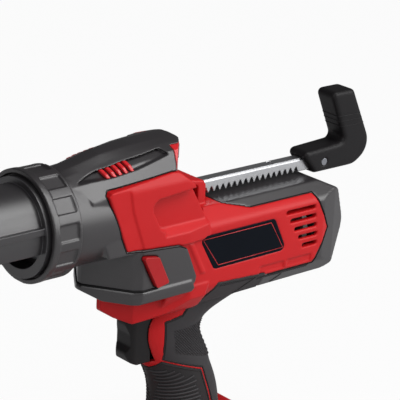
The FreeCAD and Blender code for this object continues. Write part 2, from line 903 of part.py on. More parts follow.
# Places inside the body.
frame_half_share = 0.97
side_face_share = 0.88
dial_place_share = 0.213
dial_low_share = 0.275
dial_mouth_shares = (0.70, 0.72)
trigger_bay_shares = (0.175, 0.68)
trigger_height_shares = (-1.125, -0.785)
button_place_shares = (0.447, -0.352)
button_shares = [(0.55, -0.24), (0.425, -0.262), (0.335, -0.45), (0.43, -0.468)]
neck_back_share = 0.66
hollow_back_share = 0.84
motor_bay_back_share = -1.12
guide_back_share = -0.11
HALF_WIDTH = beside(frame_half_share)
SIDE_FACE = beside(side_face_share)
DIAL_PLACE = ahead(dial_place_share)
DIAL_LOW = above(dial_low_share)
TRIGGER_BAY = tuple(ahead(share) for share in trigger_bay_shares)
TRIGGER_SPAN = tuple(above(share) for share in trigger_height_shares)
BUTTON_PLACE = (ahead(button_place_shares[0]), above(button_place_shares[1]))
BOLT_HALF = D.body_half_width - D.core_inset
POT_LOW = DIAL_LOW - D.dial_gap - D.pot_thick


def rod_sleeve(name):
    """The raised sleeve that the rod leaves the housing through."""
    half = beside(sleeve_half_share)
    return prism(name, "side", side(sleeve_side_shares), -half, half)


def bolt_core(name):
    """The block of the housing that the cross button's bolt runs through."""
    length = [ahead(share) for share in core_length_shares]
    height = [above(share) for share in core_height_shares]
    return block(name, length, (-BOLT_HALF, BOLT_HALF), height)


def pot_block(name):
    """The body of the dial's potentiometer."""
    half = D.pot_half_width
    span = (DIAL_PLACE - half, DIAL_PLACE + half)
    return block(name, span, (-half, half), (POT_LOW, POT_LOW + D.pot_thick))


def make_nose():
    """The black nose: neck, hump and chin in one, with its accent bars, dial bezel and guide plate."""
    hump = hump_form("hump")
    chin = three_way("chin", chin_volume())
    band = three_way("band", band_volume())
    neck = drum("neck", "x", D.neck_radius, ahead(neck_back_share), NOSE_FRONT, (0, D.axis_height))
    spigot = drum("spigot", "x", D.spigot_radius, NOSE_FRONT, SPIGOT_FRONT, (0, D.axis_height))
    frame_region = across("frame_region", frame_side_shares)
    core = bolt_core("core")
    motor = three_way("motor_for_nose", motor_volume())
    boot = three_way("boot_for_nose", boot_volume())
    sleeve = rod_sleeve("sleeve_for_nose")

    hump_floor = hump_form("hump_floor", D.scoop_depth)
    scoop_region = across("scoop_region", scoop_region_shares)
    scoop = cut("scoop", common("scoop_band", hump, scoop_region), hump_floor)
    bar_lead_share = 0.787
    bar_pitch_share = 0.046
    bar_width_share = 0.024
    bar_lean_share = 0.034
    bar_top_share = 0.38
    bar_low_share = 0.27
    bars = []
    for number in range(5):
        lead = bar_lead_share - bar_pitch_share * number
        bars.append(across(f"bar_{number}", [
            (lead, bar_top_share), (lead - bar_width_share, bar_top_share),
            (lead - bar_width_share - bar_lean_share, bar_low_share), (lead - bar_lean_share, bar_low_share),
        ]))
    node("accent_bars", common("accent_bars", scoop, join("bars", *bars)))

    bezel_floor = hump_form("bezel_floor", D.bezel_thick)
    bezel_region = across("bezel_region", bezel_region_shares)
    slot_height = (DIAL_LOW - D.dial_gap, DIAL_LOW + D.dial_thick + D.dial_gap)
    round_slot = drum("round_slot", "z", D.dial_radius + D.dial_gap, *slot_height, (DIAL_PLACE, 0))
    reach, half = [D.dial_radius * share for share in dial_mouth_shares]
    slot_mouth = block("slot_mouth", (-D.overrun, DIAL_PLACE - reach), (-half, half), slot_height)
    dial_slot = join("dial_slot", round_slot, slot_mouth)
    bezel = cut("bezel", common("bezel_band", hump, bezel_region), bezel_floor, dial_slot, frame_region)
    node("dial_bezel", bezel)

    plate_seat = drum(
        "plate_seat", "x", D.guide_radius + D.press_gap, SPIGOT_FRONT - D.guide_plate,
        SPIGOT_FRONT + D.overrun, (0, D.axis_height),
    )
    hollow = drum(
        "nose_hollow", "x", D.guide_screw_ring - D.guide_screw_head - D.guide_screw_radius,
        ahead(hollow_back_share), SPIGOT_FRONT, (0, D.axis_height),
    )
    screws = []
    for number in range(4):
        angle = math.pi / 4 + number * math.pi / 2
        spot = (D.guide_screw_ring * math.cos(angle), D.axis_height + D.guide_screw_ring * math.sin(angle))
        screws.append(screw(
            f"guide_screw_{number}", "x", SPIGOT_FRONT, spot,
            (D.guide_screw_head, D.guide_plate / 2, D.guide_screw_radius, D.guide_screw_length), -1,
        ))
    channel = rod_channel("nose_channel", DRIVE_PLACE, SPIGOT_FRONT)
    button_cut = prism(
        "button_slot", "side", inset(side(button_shares), -D.button_gap), *WIDE,
        rounds=(((0, 1, 2, 3), D.button_round + D.button_gap),),
    )
    shell = join("nose_shell", hump, chin, band, neck, spigot)
    node("nose_housing", cut(
        "nose_housing", shell, frame_region, core, motor, boot, sleeve, scoop, bezel, dial_slot,
        pot_block("pot_for_nose"), plate_seat, hollow, channel, button_cut, *screws,
    ))
    plate = drum(
        "plate", "x", D.guide_radius, SPIGOT_FRONT - D.guide_plate, SPIGOT_FRONT, (0, D.axis_height),
    )
    plate_channel = rod_channel("plate_channel", NOSE_FRONT, CRADLE_FRONT)
    node("guide_plate", cut("guide_plate", plate, plate_channel, *screws))
    node("guide_plate_screws", spread("guide_plate_screws", screws))
    dial_top = DIAL_LOW + D.dial_thick
    stem_hole = drum(
        "stem_hole", "z", D.dial_stem_radius + D.shaft_gap, POT_LOW, dial_top, (DIAL_PLACE, 0),
    )
    node("dial_pot", cut("dial_pot", pot_block("pot"), stem_hole))
    wheel = drum("dial_wheel", "z", D.dial_radius, DIAL_LOW, dial_top, (DIAL_PLACE, 0))
    stem = drum("dial_stem", "z", D.dial_stem_radius, POT_LOW + D.seam, dial_top, (DIAL_PLACE, 0))
    node("speed_dial", join("speed_dial", wheel, stem))


def housing_solid():
    """The housing before it is parted: frame, rod sleeve, motor body, boot, grip and foot."""
    frame_front = prism(
        "frame_front", "front", front(upper_front_shares), -D.body_depth, D.body_depth * 2,
        rounds=(((3, len(front(upper_front_shares)) - 3), D.shoulder_round),),
    )
    frame_plan = prism("frame_plan", "plan", plan(frame_plan_shares), *TALL)
    frame = common("frame", across("frame_side", frame_side_shares), frame_front, frame_plan)
    sleeve = rod_sleeve("sleeve")
    core = bolt_core("housing_core")
    motor = three_way("motor_body", motor_volume())
    boot = three_way("boot", boot_volume())
    grip = grip_volume("grip")
    foot_corners = [
        (D.foot_front, D.foot_half_width), (-D.foot_back, D.foot_half_width),
        (-D.foot_back, -D.foot_half_width), (D.foot_front, -D.foot_half_width),
    ]
    foot = prism(
        "foot", "plan", foot_corners, D.foot_bottom, FOOT_TOP,
        rounds=(((0, 1, 2, 3), D.foot_round),), rim=("high", D.foot_shoulder),
    )
    return SimpleNamespace(
        frame=frame, sleeve=sleeve, core=core, motor=motor, boot=boot, grip=grip, foot=foot,
    )


def guide_block(name):
    """The block that carries the tail of the rod."""
    half = ROD_SIDE + D.rod_gap + D.rear_guide_wall
    back = ahead(guide_back_share)
    return block(
        name, (back, back + D.rear_guide_length), (-half, half), (D.axis_height - half, D.axis_height + half),
    )


def make_housing():
    """The two red shells, the soft skins on them and what is let into their sides."""
    solids = housing_solid()
    motor_core = three_way("motor_core", motor_volume(), D.skin)
    boot_core = three_way("boot_core", boot_volume(), D.skin)
    grip_core = grip_volume("grip_core", D.skin)

    cap_space = cut("cap_space", across("cap_region", cap_region_shares), motor_core)
    node("rear_cap", common("rear_cap", solids.motor, cap_space))
    palm_space = cut(
        "palm_space", across("palm_region", palm_region_shares),
        motor_core, boot_core, grip_core, solids.foot,
    )
    soft = join("soft_outer", solids.motor, solids.boot, solids.grip)
    node("palm_overmould", common("palm_overmould", soft, palm_space))
    finger_space = cut("finger_space", across("finger_region", finger_region_shares), grip_core, solids.foot)
    node("finger_overmould", common("finger_overmould", solids.grip, finger_space))

    motor_bay = drum(
        "motor_bay", "x", D.motor_bay_radius, ahead(motor_bay_back_share),
        DRIVE_PLACE - D.motor_bay_radius, (0, MOTOR_AXIS),
    )
    bay_half = D.gear_bay_half_width
    gear_bay = block(
        "gear_bay", (DRIVE_PLACE - D.motor_bay_radius, DRIVE_PLACE + bay_half), (-bay_half, bay_half),
        (MOTOR_AXIS - bay_half, PINION_AXIS + D.spur_module * (SPUR_WHEEL_TEETH / 2 + 1) + D.bay_gap),
    )
    seats = []
    seat_reach = bay_half + D.bush_length + D.bush_seat_gap
    for name, height in (("upper", PINION_AXIS), ("lower", MOTOR_AXIS)):
        seats.append(drum(
            f"bush_seat_{name}", "y", D.bush_radius + D.bush_seat_gap, -seat_reach, seat_reach,
            (DRIVE_PLACE, height),
        ))
    channel = rod_channel("housing_channel", -D.overrun, NOSE_FRONT)
    guide_seat = guide_block("guide_seat")
    grip_hollow = grip_volume("grip_hollow", D.grip_wall, slice(1, None))
    duct_half = D.grip_half_width / 3
    duct_length_shares = (0.02, 0.14)
    duct_height_shares = (-0.92, -0.5)
    duct = block(
        "duct", [ahead(share) for share in duct_length_shares], (-duct_half, duct_half),
        [above(share) for share in duct_height_shares],
    )
    slot_half = D.trigger_half_width + D.trigger_gap
    trigger_slot = block("trigger_slot", TRIGGER_BAY, (-slot_half, slot_half), TRIGGER_SPAN)
    window = twin_cut(
        "window", window_shares, HALF_WIDTH - D.window_depth, rounds=(((0, 1), D.chin_round),),
    )
    sill = above(window_sill_share)
    bevel = prism("window_bevel_left", "front", [
        (HALF_WIDTH - D.window_depth, sill), (HALF_WIDTH + D.seam, sill - D.window_bevel),
        (HALF_WIDTH + D.seam, sill + D.seam), (HALF_WIDTH - D.window_depth, sill + D.seam),
    ], *[ahead(share) for share in window_bevel_shares])
    bevels = join("window_bevels", bevel, mirrored("window_bevel_right", bevel))
    step = twin_cut("frame_edge", frame_edge_shares, HALF_WIDTH - D.frame_step)
    badge_seat = SIDE_FACE - D.badge_thick
    badge_cut = twin_cut("badge_cut", badge_shares, badge_seat, rounds=(((0, 1, 2, 3), D.handle_round),))
    badge = prism(
        "badge", "side", side(badge_shares), badge_seat, SIDE_FACE,
        rounds=(((0, 1, 2, 3), D.handle_round),),
    )
    rib = prism("rib", "side", side(rib_shares), badge_seat, SIDE_FACE + D.rib_height)
    recesses = []
    for number, (lead, tail) in enumerate(recess_shares):
        high, low = recess_height_shares
        outline = [(lead, high), (tail, high), (tail, low), (lead, low)]
        recesses.append(twin_cut(f"recess_{number}", outline, badge_seat))
    node("badge_left", badge)
    node("badge_right", mirrored("badge_right", badge))
    vents = []
    vent_shares = [(-0.715, -0.98), (-0.755, -0.99), (-0.795, -1.0), (-0.835, -1.01), (-0.875, -1.01)]
    vent_top_share = -0.213
    for number, (lead, tail) in enumerate(vent_shares):
        middle = above(vent_top_share) - D.vent_pitch * number
        vents.append(block(
            f"vent_{number}", (ahead(tail), ahead(lead)), WIDE,
            (middle - D.vent_height / 2, middle + D.vent_height / 2),
        ))
    neck_half = D.rail_neck_half + D.rail_gap
    head_half = D.rail_head_half + D.rail_gap
    head_low = D.foot_bottom + D.rail_neck_height - D.rail_gap
    head_high = D.foot_bottom + D.rail_neck_height + D.rail_head_height + D.rail_gap
    slot_back = -D.rail_back - D.rail_gap
    slot_span = (slot_back, D.overrun * 2)
    rail_neck = block(
        "rail_neck_cut", slot_span, (-neck_half, neck_half), (D.foot_bottom - D.overrun / 2, head_high),
    )
    rail_head = block("rail_head_cut", slot_span, (-head_half, head_half), (head_low, head_high))
    terminal_seat = block(
        "terminal_seat", (slot_back, slot_back + D.terminal_length),
        (-D.terminal_half_width, D.terminal_half_width), (head_high - D.seam, head_high + D.terminal_height),
    )
    whole = join(
        "housing_whole", solids.frame, solids.sleeve, solids.core, solids.motor, solids.boot, solids.grip,
        solids.foot, rib, mirrored("rib_right", rib),
    )
    bolt_hole = drum(
        "bolt_hole", "y", D.bolt_radius + D.button_gap, -D.overrun, D.overrun, BUTTON_PLACE,
    )
    screw_spots_shares = [(0.62, 0.13), (0.46, -0.17), (-0.02, -0.62), (-1.22, -0.42)]
    spots = side(screw_spots_shares)
    foot_screw_shares = (0.885, 0.6)
    foot_spot_height = FOOT_TOP - D.foot_shoulder / 2
    foot_spots = [
        (-D.foot_back * foot_screw_shares[0], foot_spot_height),
        (D.foot_front * foot_screw_shares[1], foot_spot_height),
    ]
    screws = []
    bores = []
    for number, spot in enumerate(spots + foot_spots):
        screws.append(screw(
            f"housing_screw_{number}", "y", -D.screw_sink, spot,
            (D.screw_head_radius, D.screw_head, D.screw_radius, D.screw_sink + D.screw_reach),
        ))
        bores.append(drum(
            f"screw_bore_{number}", "y", D.screw_head_radius + D.bay_gap, -D.overrun, -D.screw_sink, spot,
        ))
    node("housing_screws", spread("housing_screws", screws))
    skinned = whole
    for space in (cap_space, palm_space, finger_space):
        skinned = cut(f"housing_without_{space.Name}", skinned, space)
    hollowed = cut("housing_hollowed", skinned, grip_hollow)
    bare = cut(
        "housing_bare", hollowed, motor_bay, gear_bay, *seats, channel, guide_seat, duct, trigger_slot,
        window, bevels, step, badge_cut, *recesses, *vents, rail_neck, rail_head, terminal_seat,
        pot_block("pot_for_housing"), bolt_hole, *screws, *bores,
    )
    long_span = (-D.body_depth * 2, D.body_depth * 2)
    tall_span = (-D.overrun, D.axis_height + D.body_depth)
    right_half = block("right_half", long_span, (-D.overrun, 0), tall_span)
    left_half = block("left_half", long_span, (0, D.overrun), tall_span)
    left = node("housing_left", common("housing_left", bare, left_half))
    right = node("housing_right", common("housing_right", bare, right_half))
    # The grip's wrapped faces stay as they are cut, so that each half is a sound solid.
    for piece in (bare, left, right):
        piece.Refine = False
    guide_channel = rod_channel("guide_channel", -D.overrun, NOSE_FRONT)
    node("rear_guide", cut("rear_guide", guide_block("guide"), guide_channel))


def involute_half_angle(radius, base, at_pitch):
    """Half the angle that a tooth takes up at a radius."""
    turn = math.acos(min(1.0, base / radius))
    return at_pitch + math.tan(PRESSURE_ANGLE) - PRESSURE_ANGLE - (math.tan(turn) - turn)


def gear_outline(teeth, module, tip_share, root_share, thinning, lead_angle):
    """The outline of a spur gear about the X axis, as (y, z) points."""
    pitch = module * teeth / 2
    base = pitch * math.cos(PRESSURE_ANGLE)
    tip = pitch + module * tip_share
    root = pitch - module * root_share
    at_pitch = (math.pi * module / 2 - thinning) / (2 * pitch)
    low = max(base, root)
    flank = [low + (tip - low) * step / 3 for step in range(4)]
    if root < low:
        flank.insert(0, root)
    points = []
    for tooth in range(teeth):
        middle = lead_angle + 2 * math.pi * tooth / teeth
        for sign, radii in ((-1, flank), (1, flank[::-1])):
            for radius in radii:
                angle = middle + sign * involute_half_angle(radius, base, at_pitch)
                points.append((radius * math.cos(angle), radius * math.sin(angle)))
    return points


def gear_shape(outline, low, high):
    """A gear outline taken along X from low to high."""
    points = [Vector(low, y, z) for y, z in outline]
    face = Part.Face(Part.makePolygon(points + points[:1]))
    return face.extrude(Vector(high - low, 0, 0))


TIP_SHARE = 0.9
ROOT_SHARE = 1.25


def spur(name, teeth, module, low, high, lead_angle, axis, at):
    """A spur gear on an axis; a tooth points at the lead angle."""
    outline = gear_outline(teeth, module.number, TIP_SHARE, ROOT_SHARE, D.backlash.number, lead_angle)
    shape = gear_shape(outline, as_length(low).number, as_length(high).number)
    spot = Vector(*(as_length(size).number for size in at))
    return solid(name, shape, Placement(spot, TURNS[axis]))


def bevel_shape(teeth, mate_teeth, module, face, thinning, hub, hub_radius, lead_angle):
    """A straight bevel gear about X, with the point of its cone at the origin."""
    radius = module * teeth / 2
    reach = module * mate_teeth / 2
    slant = math.hypot(radius, reach)
    cone = math.atan2(radius, reach)
    inner = (slant - face) / slant
    depth = module * ROOT_SHARE
    top = module * TIP_SHARE
    back_x = reach + math.sin(cone) * depth
    back_radius = radius - math.cos(cone) * depth
    shape = Part.makeCone(
        back_radius * inner, back_radius, back_x * (1 - inner), Vector(back_x * inner, 0, 0), Vector(1, 0, 0)
    )
    shape = shape.fuse(Part.makeCylinder(hub_radius, hub, Vector(back_x, 0, 0), Vector(1, 0, 0)))
    half = (math.pi * module / 2 - thinning) / 2
    lean = math.tan(PRESSURE_ANGLE)
    teeth_shapes = []
    for tooth in range(teeth):
        angle = lead_angle + 2 * math.pi * tooth / teeth
        outward = Vector(0, math.cos(angle), math.sin(angle))
        tangent = Vector(0, -math.sin(angle), math.cos(angle))
        rise = Vector(-math.sin(cone), 0, 0) + outward * math.cos(cone)
        middle = Vector(reach, 0, 0) + outward * radius
        corners = []
        for height in (-depth - module * 0.2, top):
            width = half - height * lean
            spot = middle + rise * height
            corners.append((spot - tangent * width, spot + tangent * width))
        outer = [corners[0][0], corners[0][1], corners[1][1], corners[1][0]]
        small = [point * inner for point in outer]
        faces = [Part.Face(Part.makePolygon(ring + ring[:1])) for ring in (outer, small)]
        for i in range(4):
            ring = [outer[i], outer[(i + 1) % 4], small[(i + 1) % 4], small[i]]
            faces.append(Part.Face(Part.makePolygon(ring + ring[:1])))
        tooth_shape = Part.Solid(Part.Shell(faces))
        if tooth_shape.Volume < 0:
            tooth_shape.reverse()
        teeth_shapes.append(tooth_shape)
    return shape.multiFuse(teeth_shapes).removeSplitter()


SHAFT_HALF = D.gear_bay_half_width + D.bush_length
WHEEL_SPAN = (D.wheel_side, D.wheel_side + D.wheel_face)
GEAR_FRONT = DRIVE_PLACE - D.motor_bay_radius - D.bay_gap
GEAR_BACK = GEAR_FRONT - D.gear_case_length
CARRIER_FRONT = GEAR_FRONT - D.gear_case_wall - D.seam
CARRIER_BACK = CARRIER_FRONT - D.carrier_thick
PLANET_FRONT = CARRIER_BACK - D.seam
PLANET_BACK = PLANET_FRONT - D.planet_face
MOTOR_FRONT = GEAR_BACK - D.mount_thick
MOTOR_BACK = MOTOR_FRONT - D.motor_length
UP = math.pi / 2


def make_drive():
    """Pinion and wheel shafts, planet stage, motor and fan."""
    pinion_at = (DRIVE_PLACE, 0, PINION_AXIS)
    lower_at = (DRIVE_PLACE, 0, MOTOR_AXIS)
    half_face = D.pinion_face / 2
    pinion = spur("pinion", RACK_PINION_TEETH, D.rack_module, -half_face, half_face, UP, "y", pinion_at)
    upper_shaft = drum(
        "upper_shaft", "y", D.shaft_radius, -SHAFT_HALF, SHAFT_HALF, (DRIVE_PLACE, PINION_AXIS),
    )
    node("rod_pinion", join("rod_pinion", pinion, upper_shaft))
    wheel_lead = -UP + math.pi / SPUR_WHEEL_TEETH
    wheel = spur("wheel", SPUR_WHEEL_TEETH, D.spur_module, *WHEEL_SPAN, wheel_lead, "y", pinion_at)
    bore = drum("wheel_bore", "y", D.shaft_radius + D.press_gap, *WIDE, (DRIVE_PLACE, PINION_AXIS))
    node("spur_wheel", cut("spur_wheel", wheel, bore))

    small = spur("spur_pinion", SPUR_PINION_TEETH, D.spur_module, *WHEEL_SPAN, UP, "y", lower_at)
    lower_shaft = drum("lower_shaft", "y", D.shaft_radius, -SHAFT_HALF, SHAFT_HALF, (DRIVE_PLACE, MOTOR_AXIS))
    node("spur_pinion_shaft", join("spur_pinion_shaft", small, lower_shaft))
    module = D.spur_module.number
    face = D.bevel_face.number
    thin = D.bevel_backlash.number
    hub_radius = D.bevel_hub_radius.number
    wheel_pitch = D.spur_module * (BEVEL_WHEEL_TEETH / 2)
    pinion_pitch = D.spur_module * (BEVEL_PINION_TEETH / 2)
    wheel_hub = D.gear_bay_half_width - pinion_pitch - D.spur_module * ROOT_SHARE - D.seam * 2
    apex = Vector(DRIVE_PLACE.number, 0, MOTOR_AXIS.number)
    wheel_turn = Rotation(Vector(0, -1, 0), Vector(-1, 0, 0), Vector(0, 0, -1), "XYZ")
    pinion_turn = Rotation(Vector(-1, 0, 0), Vector(0, -1, 0), Vector(0, 0, 1), "XYZ")
    bevel = solid("bevel", bevel_shape(
        BEVEL_WHEEL_TEETH, BEVEL_PINION_TEETH, module, face, thin, wheel_hub.number, hub_radius,
        math.pi / BEVEL_WHEEL_TEETH,
    ), Placement(apex, wheel_turn))
    bevel_bore = drum("bevel_bore", "y", D.shaft_radius + D.press_gap, *WIDE, (DRIVE_PLACE, MOTOR_AXIS))
    node("bevel_wheel", cut("bevel_wheel", bevel, bevel_bore))

    stub = DRIVE_PLACE - wheel_pitch - D.spur_module * ROOT_SHARE - GEAR_FRONT - D.seam
    bevel_small = solid("bevel_small", bevel_shape(
        BEVEL_PINION_TEETH, BEVEL_WHEEL_TEETH, module, face, thin, stub.number / 2, hub_radius * 0.75, 0,
    ), Placement(apex, pinion_turn))
    output_bore = drum(
        "output_bore", "x", D.shaft_radius + D.press_gap, GEAR_FRONT, DRIVE_PLACE, (0, MOTOR_AXIS),
    )
    node("bevel_pinion", cut("bevel_pinion", bevel_small, output_bore))
    carrier_radius = D.sun_module * (RING_TEETH / 2) - D.sun_module - D.seam * 2
    orbit = D.sun_module * ((SUN_TEETH + PLANET_TEETH) / 2)
    disc = drum("carrier_disc", "x", carrier_radius, CARRIER_BACK, CARRIER_FRONT, (0, MOTOR_AXIS))
    output_end = DRIVE_PLACE - wheel_pitch + D.bevel_face / 2
    output = drum("output", "x", D.shaft_radius, CARRIER_BACK, output_end, (0, MOTOR_AXIS))
    pins = []
    planets = []
    for number in range(PLANETS):
        angle = 2 * math.pi * number / PLANETS
        spot = (orbit * math.cos(angle), MOTOR_AXIS + orbit * math.sin(angle))
        pins.append(drum(f"pin_{number}", "x", D.planet_pin_radius, PLANET_BACK, CARRIER_FRONT, spot))
        gear = spur(
            f"planet_gear_{number}", PLANET_TEETH, D.sun_module, PLANET_BACK, PLANET_FRONT,
            angle + math.pi + math.pi / PLANET_TEETH, "x", (0, *spot),
        )
        hole = drum(
            f"planet_hole_{number}", "x", D.planet_pin_radius + D.shaft_gap, PLANET_BACK, PLANET_FRONT, spot,
        )
        planets.append(cut(f"planet_{number}", gear, hole))
    node("planet_carrier", join("planet_carrier", disc, output, *pins))
    for number, planet in enumerate(planets):
        node(f"planet_gear_{'abc'[number]}", planet)

    ring_outline = gear_outline(
        RING_TEETH, D.sun_module.number, ROOT_SHARE, TIP_SHARE, -D.backlash.number, math.pi / RING_TEETH,
    )
    ring_cut = solid(
        "ring_cut", gear_shape(ring_outline, (GEAR_BACK - D.seam).number, CARRIER_BACK.number),
        Placement(Vector(0, 0, MOTOR_AXIS.number), Rotation()),
    )
    case = drum("case", "x", D.gear_case_radius, GEAR_BACK, GEAR_FRONT, (0, MOTOR_AXIS))
    disc_bay = drum(
        "disc_bay", "x", carrier_radius + D.seam, GEAR_BACK, CARRIER_FRONT + D.seam, (0, MOTOR_AXIS),
    )
    shaft_hole = drum("case_hole", "x", D.shaft_radius + D.shaft_gap, GEAR_BACK, GEAR_FRONT, (0, MOTOR_AXIS))
    node("gear_case", cut("gear_case", case, ring_cut, disc_bay, shaft_hole))

    sun = spur("sun", SUN_TEETH, D.sun_module, PLANET_BACK, PLANET_FRONT, 0, "x", (0, 0, MOTOR_AXIS))
    fan_front = MOTOR_BACK - D.motor_boss - D.seam
    fan_back = fan_front - D.fan_thick
    rotor = drum("rotor", "x", D.rotor_radius, fan_back, PLANET_FRONT, (0, MOTOR_AXIS))
    node("rotor_sun", join("rotor_sun", rotor, sun))
    boss = D.motor_boss_radius
    can = turned("can", "x", [
        (MOTOR_BACK - D.motor_boss, D.rotor_radius + D.shaft_gap),
        (MOTOR_BACK - D.motor_boss, boss),
        (MOTOR_BACK, boss),
        (MOTOR_BACK, D.motor_radius),
        (MOTOR_FRONT, D.motor_radius),
        (MOTOR_FRONT, boss),
        (MOTOR_FRONT + D.motor_boss, boss),
        (MOTOR_FRONT + D.motor_boss, D.rotor_radius + D.shaft_gap),
    ], (0, 0, MOTOR_AXIS))
    node("motor", can)
    outer = D.motor_bay_radius - D.bay_gap
    front_mount = turned("front_mount", "x", [
        (MOTOR_FRONT, boss + D.press_gap),
        (MOTOR_FRONT, outer),
        (GEAR_BACK, outer),
        (GEAR_BACK, boss + D.press_gap),
    ], (0, 0, MOTOR_AXIS))
    rear_mount = turned("rear_mount", "x", [
        (MOTOR_BACK, D.motor_radius + D.press_gap),
        (MOTOR_BACK, outer),
        (MOTOR_BACK + D.mount_thick, outer),
        (MOTOR_BACK + D.mount_thick, D.motor_radius + D.press_gap),
    ], (0, 0, MOTOR_AXIS))
    node("motor_mounts", spread("motor_mounts", [front_mount, rear_mount]))
    axis_point = Vector(fan_back.number, 0, MOTOR_AXIS.number)
    along = Vector(1, 0, 0)
    thick = D.fan_thick.number
    fan = Part.makeCylinder(D.fan_hub_radius.number, thick, axis_point, along)
    web = Part.makeCylinder(D.fan_radius.number, D.fan_blade.number, axis_point, along)
    blades = []
    for number in range(FAN_BLADES):
        blade = Part.makeBox(
            thick, D.fan_blade.number, D.fan_radius.number, axis_point - Vector(0, D.fan_blade.number / 2, 0)
        )
        blade.rotate(axis_point, along, 360 * number / FAN_BLADES)
        blades.append(blade.common(Part.makeCylinder(D.fan_radius.number, thick, axis_point, along)))
    fan = fan.multiFuse([web] + blades)
    fan = fan.cut(Part.makeCylinder((D.rotor_radius + D.press_gap).number, thick, axis_point, along))
    node("motor_fan", solid("motor_fan", fan.removeSplitter()))

    bushes = []
    for level, height in (("upper", PINION_AXIS), ("lower", MOTOR_AXIS)):
        for name, low in (("left", D.gear_bay_half_width), ("right", -SHAFT_HALF)):
            high = low + D.bush_length
            spot = (DRIVE_PLACE, height)
            outer_bush = drum(f"bush_{level}_{name}", "y", D.bush_radius, low, high, spot)
            bush_hole = drum(
                f"bush_hole_{level}_{name}", "y", D.shaft_radius + D.shaft_gap, low, high, spot,
            )
            bushes.append(cut(f"bushing_{level}_{name}", outer_bush, bush_hole))
    node("shaft_bushes", spread("shaft_bushes", bushes))


HANDLE_HEEL = -D.rod_tail - D.socket_depth * 1.25
HANDLE_LOW = D.axis_height - D.handle_drop
handle_shares = [
    (0.992, 0.293), (0.79, 0.0), (0.20, 0.0), (-0.05, 0.19), (0.28, 1.0), (0.61, 1.0), (0.36, 0.33),
]
rod_hole_share = -0.80


